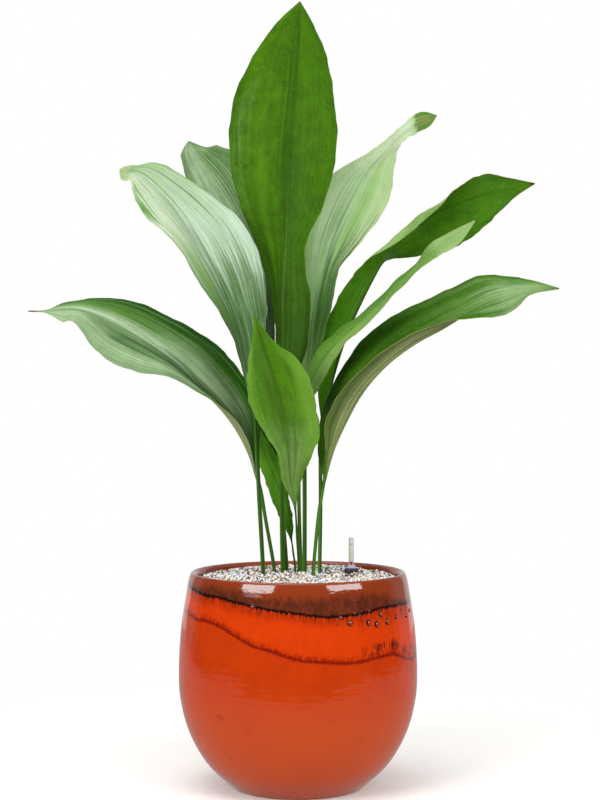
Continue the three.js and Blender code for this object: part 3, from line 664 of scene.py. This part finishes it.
      [[-39, 471, -53], [-48, 472, -57], [-26, 469, -58]]],
  ),
  dict(
    name="leaf_back_small", deep="509410", fresh="78bc2c", under="6c9c3c", underDeep="4c7c20", shine=0.06,
    upper=[
      ("346a10", -2, 2, -1, 0.3, 0.6, 0.2, 0.12), ("3c7810", 0.4, 1.2, 0.2, 0.9, 0.5, 0.2, 0.15)],
    stalkRadius=1, stalk=[[-3, 228, 16], [-5, 244, 17], [-7, 258, 18]], tip=[-43, 378, 24],
    blade=[
      [[-11, 275, 19], [-15, 273, 20], [-5, 274, 18]], [[-15, 295, 20], [-25, 294, 23], [-8, 295, 17]],
      [[-21, 315, 21], [-32, 314, 25], [-13, 317, 17]], [[-29, 335, 22], [-40, 334, 27], [-18, 340, 18]],
      [[-36, 355, 23], [-45, 351, 27], [-29, 358, 20]]],
  ),
]


def place(point):
    # a point [across, up, depth] of the leaf list, at its true place in mm
    across, up, depth = point
    near = 1 + depth / leafPlan["viewDistance"]
    return np.array([across * near, depth, leafPlan["viewHeight"] + (up - leafPlan["viewHeight"]) * near])


def unit(vectors):
    return vectors / np.linalg.norm(vectors, axis=-1, keepdims=True)


def along(points, position):
    # smooth curve through points; position counts points from the first one
    p = np.concatenate([[2 * points[0] - points[1]], points, [2 * points[-1] - points[-2]]])
    i = np.clip(position.astype(int), 0, len(points) - 2)
    return curveAt(p, i, (position - i)[:, None])


def leafStations(leaf):
    # midrib, left margin and right margin from the foot of the stalk to the tip
    def beside(point, side, reach):
        return [point, point - side * reach, point + side * reach]

    stalk = [place(point) for point in leaf["stalk"]]
    entry, foot = stalk[0], leafPlan["stalkFoot"]
    stalk = [np.array([*entry[:2], foot]), np.array([*entry[:2], (foot + entry[2]) / 2]), *stalk]
    blade = [[place(point) for point in station] for station in leaf["blade"]]
    first, last = (unit(blade[i][2] - blade[i][1]) for i in (0, -1))
    level = unit(first * [1, 1, 0])
    return np.array([*[beside(point, level, leaf["stalkRadius"]) for point in stalk], *blade,
                     beside(place(leaf["tip"]), last, leafPlan["tipHalf"])])


def softStep(value, low, high):
    u = np.clip((value - low) / (high - low), 0, 1)
    return u * u * (3 - 2 * u)


def leafGrid(leaf):
    # the leaf's upper and under face in mm, and three vectors for each point of a face
    plan, radius = leafPlan, leaf["stalkRadius"]
    stations = leafStations(leaf)
    stalkEnd = len(leaf["stalk"]) + 1
    position = np.concatenate([np.arange(0, stalkEnd, 1 / plan["stalkRows"]),
                               np.arange(stalkEnd, len(stations) - 1 + tiny, 1 / plan["bladeRows"])])
    middle, left, right = (along(stations[:, side], position) for side in range(3))
    step = position[:, None]
    onBlade = np.maximum(0, step - stalkEnd)
    part = onBlade / (len(stations) - 1 - stalkEnd)
    reach = np.linspace(-1, 1, 2 * plan["halfColumns"] + 1)
    away = np.abs(reach)
    onRight = (reach > 0)[None, :, None]
    chord = np.where(onRight, (right - middle)[:, None], (left - middle)[:, None])
    length = np.linalg.norm(chord, axis=2)
    seed = sum(ord(letter) for letter in leaf["name"])

    def start(name):
        left, right = plan[name]
        return np.where(reach > 0, right, left)

    # small nicks and bays along the margins
    nicks = sum(np.sin((step + start("nickStart") + seed) * pace) / pace for pace in plan["nickPaces"])
    nicks = nicks * plan["nicks"] * softStep(part, 0.05, 0.2) * softStep(1 - part, 0.06, 0.2) * away ** 4
    chord = chord * (1 + nicks / np.maximum(length, plan["narrow"]))[..., None]
    # the blade bows between rib and margin, and its margins wave
    forward = unit(np.gradient(middle, axis=0))[:, None]
    facing = unit(np.cross(np.where(onRight, chord, -chord), np.broadcast_to(forward, chord.shape)))
    bow = 2 * away * (1 - away) * plan["halfBow"] * length
    wave = away ** 2 * np.sin(step * plan["wavePace"] + start("waveStart"))
    ruffle = away ** 3 * np.sin(step * plan["rufflePace"] + start("ruffleStart") + seed)
    swing = np.sin(np.pi * part) * (plan["wave"] * wave + plan["ruffle"] * ruffle)
    lift = (bow + swing) * (onBlade > 0)
    face = middle[:, None] + chord * away[None, :, None] + facing * lift[..., None]
    normal = unit(np.cross(np.gradient(face, axis=1), np.gradient(face, axis=0)))
    # pleats between the long veins, and the groove over the midrib
    fade = softStep(part, 0.02, 0.16) * softStep(1 - part, 0.02, 0.2)
    waves = 2 * np.pi * plan["pleats"] * away
    pleats = 0.55 * np.cos(waves + seed) + 0.45 * np.cos(1.6 * waves + seed + np.sin(0.9 * step + seed))
    pleats = pleats * softStep(away, 0.04, 0.2) * softStep(1 - away, 0.01, 0.12) * fade
    pleats = pleats * plan["pleatDepth"] * leaf["relief"] * np.clip(length / plan["pleatFull"], 0.2, 1)
    fromRib = length * away
    groove = -plan["grooveDepth"] * np.exp(-(fromRib / plan["grooveHalf"]) ** 2) * fade
    # a round stalk that thins out into the rib under the blade
    roundness = np.clip(1 - onBlade, 0, 1)
    crown = plan["stalkCrown"] * radius * np.sqrt(1 - reach ** 2)
    thick = plan["marginThickness"] * (1 - plan["marginThinned"] * softStep(away, 0.85, 1) * (1 - roundness))
    rib = radius * (1 - part) ** 2 * np.sqrt(np.maximum(0, 1 - (fromRib / (radius * (1 - 0.6 * part))) ** 2))
    above = roundness * (plan["marginThickness"] / 2 + crown) + pleats + groove
    below = thick * (1 - roundness / 2) + rib - pleats
    coord = np.stack(np.broadcast_arrays(reach, part, 0), 2)
    fromMargin = length * (1 - away) + plan["stalkMargin"] * roundness
    span = np.stack([fromRib, fromMargin, np.linalg.norm(face - middle[-1], axis=2)], 2)
    stalk = np.broadcast_to(((stalkEnd - step) * plan["stationStep"])[..., None], coord.shape)
    return face + normal * above[..., None], face - normal * below[..., None], coord, span, stalk


def closedSheet(upper, under):
    def quads(*corners):
        return np.stack(corners, -1).reshape(-1, 4)

    rows, columns = upper.shape[:2]
    top = np.arange(rows * columns).reshape(rows, columns)
    low = top + rows * columns
    return np.concatenate([upper.reshape(-1, 3), under.reshape(-1, 3)]), np.concatenate([
        quads(top[:-1, :-1], top[:-1, 1:], top[1:, 1:], top[1:, :-1]),
        quads(low[:-1, :-1], low[1:, :-1], low[1:, 1:], low[:-1, 1:]),
        quads(low[:-1, 0], top[:-1, 0], top[1:, 0], low[1:, 0]),
        quads(top[:-1, -1], low[:-1, -1], low[1:, -1], top[1:, -1]),
        quads(top[0, :-1], low[0, :-1], low[0, 1:], top[0, 1:]),
        quads(top[-1, :-1], top[-1, 1:], low[-1, 1:], low[-1, :-1])])


def washed(color, washes, across, up, streaks):
    for code, left, right, low, high, share, streaky, soft in washes:
        mask = band(across, left, right, soft) * band(up, low, high, soft * 0.6) * share
        if streaky:
            mask = mask * (1 - streaky + streaks * streaky)
        color = mask.mixed(color, code)
    return color


def leafSkin(look, number):
    # coloured by the leaf's own lines, which run across and up it
    material, wire = startMaterial(look["name"] + "Skin", IOR=1.45, Specular_IOR_Level=look["shine"])
    across, up, under = attribute(wire, "leafCoord").parts()
    fromRib, fromMargin, fromTip = attribute(wire, "leafSpan").parts()

    def grown(x, y, detail=2, shift=0):
        # clouds drawn in those lines, others for each leaf
        return noise(wire, 1, detail, at=wire.add("CombineXYZ", {}, {0: x, 1: y, 2: number * 3.7 + shift}))

    lines = across + grown(across * 2, up * 3) * 0.06
    broad, medium = grown(lines * 6, up * 1.3), grown(lines * 26, up * 2.6)
    fine, cross = grown(lines * 90, up * 8), grown(lines * 26, up * 70)
    patches, blotch = grown(across * 1.5, up * 5, shift=7), grown(across * 9, up * 60, detail=3)
    streaks = (medium * 0.7 + broad * 0.5 + fine * 0.3 - 0.25).rise(0.36, 0.64)
    tone = broad * 0.35 + medium * 0.35 + fine * 0.3 + patches * 0.6 + blotch * 0.5 - 0.55
    color = tone.rise(0.2, 0.8).mixed(look["deep"], look["fresh"])
    fingers = (medium - 0.5) * 0.6 + (fine - 0.5) * 0.5 + (broad - 0.5) * 0.3
    fingers = fingers * (1 - up.rise(0.7, 0.82) * 0.85)
    ragged = across + fingers * 0.5, up + fingers * 0.8
    color = washed(color, look["upper"], *ragged, streaks)
    tone = medium * 0.6 + fine * 0.4 + patches * 0.4 - 0.2
    below = tone.rise(0.3, 0.7).mixed(look["underDeep"], look["under"])
    below = washed(below, look["lower"], *ragged, streaks)
    color = under.mixed(color, below)
    if look["roll"]:         # the left margin is rolled over and shows its underside
        start, end, steep, most = look["roll"]
        rolled = 1 - (across - most).rise(-0.03, 0.03)
        for bound in ((up - start) * steep, (end - up) * steep):
            rolled = rolled * (1 - (across + 1 - bound).rise(-0.04, 0.04))
        color = rolled.mixed(color, below)
    rib = (1 - fromRib.rise(0.1, look["ribHalf"])) * (1 - up.rise(*look["ribEnd"])) * (1 - under * 0.5)
    color = (rib * look["ribShare"]).mixed(color, look["rib"])
    vein = (medium.rise(0.53, 0.66) * 0.18 + fine.rise(0.52, 0.7) * 0.16) * look["veinShare"]
    color = (vein * (1 - under * 0.4)).mixed(color, look["vein"])
    glint = ((1 - medium).rise(0.54, 0.66) * 0.6 + (1 - fine).rise(0.54, 0.7) * 0.4) * look["glint"]
    color = glint.mixed(color, look["glintColor"])
    # fine mottling in soft clouds, as on a real leaf
    mottle = noise(wire, 650, 3).rise(0.3, 0.7) * noise(wire, 60, 3).rise(0.3, 0.7)
    color = (mottle * look["grain"]).mixed(color, look["vein"])
    edge = 1 - (fromMargin + fine * 0.5).rise(0.3, 0.95)
    color = (edge * look["edgeShare"]).mixed(color, look["edge"])
    brown = look["tipBrown"]
    dry = 1 - (fromTip + (medium + patches - 1) * brown * 1.2).rise(brown * 0.7, brown * 1.3 + 0.1)
    color = dry.mixed(color, look["dry"])
    stalk = attribute(wire, "leafStalk").parts()[0].rise(-25, 15)
    # painted highlight: the stalk is lighter towards both its sides, over clouds of deeper and fresher green
    tone = medium * 0.8 + fine * 0.5 + abs(across) * 0.3 - 0.35
    color = stalk.mixed(color, tone.rise(0.2, 0.75).mixed(look["stalkDeep"], look["stalkFreshLit"]))
    rough = look["rough"] + (medium - 0.5) * 0.2 + (fine - 0.5) * 0.1 + under * 0.12
    relief = medium * 0.5 + fine * 0.35 + cross * 0.1
    return feed(material, Base_Color=color, Roughness=rough, Normal=bump(relief, 0.0004, look["veinDepth"]))


def buildLeaf(leaf, number):
    upper, under, coord, span, stalk = leafGrid(leaf)
    points, quads = closedSheet(upper * mm, under * mm)
    points = np.clip(points, *cadBox)
    node = leaf["name"]
    piece = pieceFrom(node.replace("leaf_", "foliage_"), points.tolist(), quads.tolist(),
                      leafSkin(leaf, number), leaf["slot"], [node])
    giveVectors(piece, "leafCoord", [coord, coord + [0, 0, 1]])
    giveVectors(piece, "leafSpan", [span, span])
    giveVectors(piece, "leafStalk", [stalk, stalk])


for number, leaf in enumerate(leaves, 1):
    buildLeaf({**leafLook, **leaf}, number)
    print("leaf made:", leaf["name"])

# Gravel: loose grains on the filling that the frame gives
gravelPlan = dict(
    spacing=2.9, rowShare=0.866, jitter=1.1, edge=105.2, lowest=0.2, sink=0.3, seed=5,
    size=(1.2, 1.95), stretch=(0.72, 1.15), rough=0.16,
    small=1500, smallSize=(0.7, 1.1), smallLift=0.9,
    heap=(1.8, 30, 85),                                 # how high they are heaped, from one y to another
    gauge=(57, 18, 7.6), stalkRoom=0.5, overlap=0.8,    # grains keep off the gauge and the stalks
    share=0.85, dust="3a3034", speck="2a2226", relief=(0.0003, 0.7),
    colors=[(0, "e6d6c6"), (0.18, "f8f0e4"), (0.34, "cae4ea"), (0.46, "ecf4f4"), (0.54, "ccb49a"),
            (0.62, "a48a7c"), (0.68, "6c5458"), (0.83, "44343a"), (0.93, "c08a4c"), (0.95, "8f8288")],
)


def stoneSkin(name, loose):
    plan = gravelPlan
    material, wire = startMaterial(name, IOR=1.5)
    if loose:                # each loose grain has a tone and a shade of its own
        pick, shade, _ = attribute(wire, "grainTone").parts()
    else:
        pick, shade = noise(wire, 420), noise(wire, 300, 1)
    stops = [(where, tint(code, plan["share"])) for where, code in plan["colors"]]
    color = wire.add("ValToRGB", {"stops": stops}, {"Fac": pick})
    speck = noise(wire, 1300, 3)
    color = ((1 - shade) * 0.22).mixed(color, plan["dust"])
    color = (speck.rise(0.6, 0.8) * 0.3).mixed(color, plan["speck"])
    return feed(material, Base_Color=color, Roughness=0.55 + speck * 0.3,
                Normal=bump(speck, *plan["relief"]))


def roundStone():
    work = bmesh.new()
    bmesh.ops.create_icosphere(work, subdivisions=1, radius=1)
    points = np.array([tuple(v.co) for v in work.verts])
    faces = np.array([[v.index for v in f.verts] for f in work.faces])
    work.free()
    return points, faces


def spin(rng):
    # a random turn as a matrix
    w, x, y, z = unit(rng.normal(size=4))
    return np.array([[1 - 2 * (y * y + z * z), 2 * (x * y - z * w), 2 * (x * z + y * w)],
                     [2 * (x * y + z * w), 1 - 2 * (x * x + z * z), 2 * (y * z - x * w)],
                     [2 * (x * z - y * w), 2 * (y * z + x * w), 1 - 2 * (x * x + y * y)]])


def buildGravel():
    plan = gravelPlan
    rng = np.random.default_rng(plan["seed"])
    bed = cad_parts["granules"].data
    bed = BVHTree.FromPolygons([v.co for v in bed.vertices], [p.vertices for p in bed.polygons])
    edge, step, jitter = plan["edge"], plan["spacing"], plan["jitter"]
    spots = []
    for row, y in enumerate(np.arange(-edge, edge, step * plan["rowShare"])):
        for x in np.arange(-edge, edge, step):
            shift = step / 2 * (row % 2)
            spots.append((x + shift + rng.uniform(-1, 1) * jitter, y + rng.uniform(-1, 1) * jitter, False))
    for _ in range(plan["small"]):
        reach, turn = edge * math.sqrt(rng.uniform()), rng.uniform(0, 2 * math.pi)
        spots.append((reach * math.sin(turn), reach * math.cos(turn), True))
    stalks = [(*place(leaf["stalk"][0])[:2], leaf["stalkRadius"] + plan["stalkRoom"]) for leaf in leaves]
    shape, corners = roundStone()
    points, faces, tones = [], [], []
    for x, y, small in spots:
        size = rng.uniform(*plan["smallSize" if small else "size"])
        tone, shade = rng.uniform(), rng.uniform()
        stretch = rng.uniform(*plan["stretch"], 3)
        rough = 1 + rng.uniform(-plan["rough"], plan["rough"], len(shape))
        turn = spin(rng)
        for ox, oy, room in [*stalks, plan["gauge"]]:
            gap = math.hypot(x - ox, y - oy)
            if gap < room + size * plan["overlap"]:
                x, y = ox + (x - ox) / gap * (room + size), oy + (y - oy) / gap * (room + size)
        if math.hypot(x, y) > edge - size:
            continue
        hit = bed.ray_cast(Vector((x * mm, y * mm, 0.3)), Vector((0, 0, -1)))[0]
        if hit is None or hit.z < plan["lowest"]:
            continue
        most, start, end = plan["heap"]
        heap = most * softStep(y, start, end) + plan["smallLift"] * small
        middle = np.array([x, y, hit.z / mm + size * plan["sink"] + heap])
        faces.append(corners + len(points) * len(shape))
        points.append((shape * rough[:, None] * stretch) @ turn.T * size + middle)
        tones.append(np.tile([tone, shade, 0], (len(shape), 1)))
    points, faces = np.concatenate(points) * mm, np.concatenate(faces)
    grains = pieceFrom("mineralGrains", points.tolist(), faces.tolist(), stoneSkin("grainSkin", True),
                       "mineral_granules", smooth=False)
    giveVectors(grains, "grainTone", tones)
    dressNode("granules", stoneSkin("bedSkin", False))
    print("grains:", len(tones))


buildGravel()

# Rootstock, under the filling
rootPlan = dict(bark="8d6f45", dark="5a4128", light="b79a6a", relief=(0.0008, 0.8))


def rootSkin():
    material, wire = startMaterial("rootSkin", IOR=1.45)
    rings = noise(wire, 160, 3, at=spot(wire, (4, 1, 1)))
    flecks = noise(wire, 600)
    color = rings.rise(0.3, 0.7).mixed(rootPlan["dark"], rootPlan["bark"])
    color = flecks.rise(0.5, 0.8).mixed(color, rootPlan["light"])
    return feed(material, Base_Color=color, Roughness=0.65 + flecks * 0.3,
                Normal=bump(rings, *rootPlan["relief"]))


dressNode("rhizome", rootSkin())
print("rootstock dressed")

# Water gauge: a dark collar and tube in the filling, a milky sleeve with two marks, and a red float
gaugePlan = dict(
    center=(57, 18), sides=48, bore=1.8, tube=6.5, tubeInside=5.2, collar=7.4, seat=2,
    bottom=12.4, floor=4, collarBottom=220.5, collarTop=226.5, chamfer=1, top=259, round=0.5,
    # reach and height of the sleeve's flared foot over the collar, and of the closed top's parts under it
    flare=[(1.8, 0.3), (5.8, 0.3), (5.4, 1.1), (4.2, 2.5), (3.1, 4.5), (2.9, 6.3)],
    cap=[(2.7, -0.6), (2.2, 0), (0, 0), (0, -1), (1.8, -1.4)],
    marks=[252, 242], markTurn=42, markSteps=12, markRadii=(2.6, 2.95), markHalf=0.5,
    # reach and height of the float over the tube's floor, and of the rod's top
    float=[(0, 0), (3.4, 0), (4.4, 2), (4.4, 38), (1.1, 40)], floatGap=0.3,
    rod=[(1.1, 231.9), (0.6, 232.5), (0, 232.5)],
    dark="2b2330", darkLight="4a4252", clear="e4e1da", cone="c8c0d8", mark="f0d060",
    markLight="e8cc60", red="e03008", redLight="e8562c", tip="c82c00",
    coneEnds=(229, 231.5), tipShows=(230.2, 233.6), tipReach=(0.9, 1.7), relief=(0.00005, 0.4),
)


def plasticSkin(name, color, light, rough):
    material, wire = startMaterial(name)
    cloud = noise(wire, 260, 3)
    scratch = noise(wire, 1800, 2, 0.15)
    mixed = (cloud * 0.9 + scratch * 0.3 - 0.3).rise(0.1, 0.8).mixed(color, light)
    return feed(material, Base_Color=mixed, Roughness=rough + scratch * 0.12 - 0.06,
                Normal=bump(scratch, *gaugePlan["relief"]))


def sleeveSkin():
    # milky, lilac at the flared foot, and thinner where the float's red tip shows through
    plan = gaugePlan
    material, wire = startMaterial("gaugeClear", Roughness=0.45, IOR=1.45, Specular_IOR_Level=0.3)
    x, _, height = spot(wire, (1 / mm, 1 / mm, 1 / mm)).parts()
    cone = (1 - height.rise(*plan["coneEnds"])) * (0.5 + noise(wire, 500, 2, 0.3))
    tip = band(height, *plan["tipShows"], 0.5)
    red = tip * (1 - abs(x - plan["center"][0]).rise(*plan["tipReach"]))
    color = red.mixed(cone.mixed(plan["clear"], plan["cone"]), plan["tip"])
    return feed(material, Base_Color=color, Alpha=0.97 - tip * 0.4)


def buildGauge():
    plan = gaugePlan
    bottom, seat, top = plan["bottom"], plan["collarBottom"], plan["collarTop"]
    bore, tube, inside, collar = plan["bore"], plan["tube"], plan["tubeInside"], plan["collar"]

    def turned(name, profile, skin, slot, node, **settings):
        points, faces = lathe(profile, plan["sides"], plan["center"])
        pieceFrom(name, points, faces, skin, slot, [node], **settings)

    roof, floor, chamfer = seat - plan["seat"], bottom + plan["floor"], plan["chamfer"]
    housing = rounded([(bore, bottom), (tube, bottom), (tube, seat), (collar, seat), (collar, top - chamfer),
                       (collar - chamfer, top), (bore, top), (bore, roof), (inside, roof), (inside, floor),
                       (bore, floor)], plan["round"])
    dark = plasticSkin("gaugeDark", plan["dark"], plan["darkLight"], 0.4)
    turned("gaugeHousing", housing, dark, "gauge_dark_plastic", "gauge_housing", sharp=60)
    sleeve = [*((r, top + z) for r, z in plan["flare"]), *((r, plan["top"] + z) for r, z in plan["cap"])]
    turned("gaugeSleeve", sleeve, sleeveSkin(), "gauge_clear_plastic", "gauge_sleeve", sharp=60)
    points, faces = [], []
    (near, far), half, steps = plan["markRadii"], plan["markHalf"], plan["markSteps"]
    for height in plan["marks"]:
        corners = [(near, -half), (far, -half), (far, half), (near, half)]
        rings = []
        for turn in np.radians(np.linspace(-plan["markTurn"], plan["markTurn"], steps + 1)):
            rings.append([len(points) + k for k in range(4)])
            points += [around(turn, r, height + z, plan["center"], mm) for r, z in corners]
        faces += [*facesBetween(rings), rings[0], rings[-1][::-1]]
    pieceFrom("gaugeMarks", points, faces, plasticSkin("gaugeMark", plan["mark"], plan["markLight"], 0.4),
              "gauge_clear_plastic", smooth=False)
    low = floor + plan["floatGap"]
    outline = [*((r, low + z) for r, z in plan["float"]), *plan["rod"]]
    red = plasticSkin("gaugeRed", plan["red"], plan["redLight"], 0.3)
    turned("gaugeFloat", outline, red, "gauge_red_plastic", "gauge_float", body="level_float", sharp=40)


buildGauge()
print("gauge made")

# Floor, backdrop and studio lights
studio = dict(
    floor="ecebe8", inner=0.3, outer=0.62, floorReach=3, floorSink=0.0004, floorSides=64, backdrop=6,
    world=0.62,
    # place, what it is aimed at, width, height and power
    lamps=[((-0.93, -1, 0.83), (0, 0, 0.22), 0.86, 0.47, 16),
           ((1.06, -0.86, 0.82), (0, 0, 0.22), 0.94, 0.47, 16),
           ((-0.3, -0.2, 2.1), (0, 0, 0.4), 1.4, 1.4, 22)],
    # what only the gloss shows, glowing sheets that paint the reflections of a grey table, with its front
    # edge, half width and back edge in metres, of a dark room in front of it and of a white wall behind it,
    # each from one turn to another
    table=(0.53, 1.1, 1.5), tableColor="b0aeac", potReach=0.071,
    low=0.002, far=2.6, high=2.2, steps=60,
    sweeps=dict(darkRoom=(-112, 106, "3c3a38"), rightCorner=(106, 114, "6c6a68"),
                rightWall=(114, 140, "989694"), backWall=(140, 220, "e8e8e8"),
                leftWall=(220, 240, "989694"), leftCorner=(240, 248, "6c6a68")),
)


def lightOnly(piece, *seen):
    for ray in ("camera", "diffuse", "glossy", "transmission", "volume_scatter", "shadow"):
        setattr(piece, "visible_" + ray, ray in seen)


def glowing(name, color):
    return startMaterial(name, Base_Color=(0, 0, 0, 1), Roughness=1, Specular_IOR_Level=0,
                         Emission_Color=tint(color, 1), Emission_Strength=1)[0]


def sweep(name, start, end, color, outline):
    # a glowing sheet round the pot, from one turn to another, that only the gloss shows, as a painted
    # reflection;
    # outline makes its reaches and heights from the reach of the table's edge
    front, half, back = studio["table"]
    points, rows = [], []
    for turn in np.radians(np.linspace(start, end, studio["steps"] + 1)):
        ahead = front if math.cos(turn) > 0 else back
        edge = min(ahead / max(abs(math.cos(turn)), tiny), half / max(abs(math.sin(turn)), tiny))
        row = outline(edge)
        rows.append([len(points) + k for k in range(len(row))])
        points += [around(turn, reach, height) for reach, height in row]
    lightOnly(meshObject(name, points, facesBetween(rows, False), glowing(name + "Skin", color)), "glossy")


def floorSkin():
    # the plain floor, which glows evenly further out
    material, wire = startMaterial("floorSkin", Roughness=0.9, Base_Color=tint(studio["floor"], 1))
    here = spot(wire)
    reach = here.add("VectorMath", {"operation": "LENGTH"}, {0: here}, 1)
    near = Wire(wire.tree, mainShader(material).outputs[0])
    glow = wire.add("Emission", {}, {"Color": (1, 1, 1, 1), "Strength": 1})
    both = wire.add("MixShader", {}, {0: reach.rise(studio["inner"], studio["outer"]), 1: near, 2: glow})
    wire.tree.links.new(both.socket, wire.tree.nodes["Material Output"].inputs[0])
    return material


def buildStudio():
    plan = studio
    world = bpy.data.worlds.new("studio")
    bpy.context.scene.world = world
    world.use_nodes = True
    sky = world.node_tree.nodes["Background"].inputs
    sky["Color"].default_value, sky["Strength"].default_value = (1, 1, 1, 1), plan["world"]
    bpy.context.scene.view_settings.view_transform = "Standard"
    sides = plan["floorSides"]
    ring = [around(2 * math.pi * i / sides, plan["floorReach"], -plan["floorSink"]) for i in range(sides)]
    meshObject("floor", ring, [list(range(sides))], floorSkin())
    work = bmesh.new()
    bmesh.ops.create_uvsphere(work, u_segments=32, v_segments=16, radius=plan["backdrop"])
    mesh = bpy.data.meshes.new("backdrop")
    work.to_mesh(mesh)
    work.free()
    mesh.materials.append(glowing("backdropSkin", "ffffff"))
    lightOnly(linked("backdrop", mesh), "camera")
    low, far, high = plan["low"], plan["far"], plan["high"]
    sweep("grayTable", 0, 360, plan["tableColor"], lambda edge: [(plan["potReach"], low), (edge, low)])
    for name, walls in plan["sweeps"].items():
        sweep(name, *walls, lambda edge: [(edge, low), (far, low), (far, high)])
    for i, (where, aim, width, height, power) in enumerate(plan["lamps"]):
        data = bpy.data.lights.new("lamp" + str(i), "AREA")
        data.shape, data.size, data.size_y, data.energy = "RECTANGLE", width, height, power
        lamp = linked(data.name, data)
        lamp.location = where
        lamp.rotation_euler = (Vector(aim) - Vector(where)).to_track_quat("-Z", "Y").to_euler()
        lamp.visible_camera = False


buildStudio()
print("studio made")
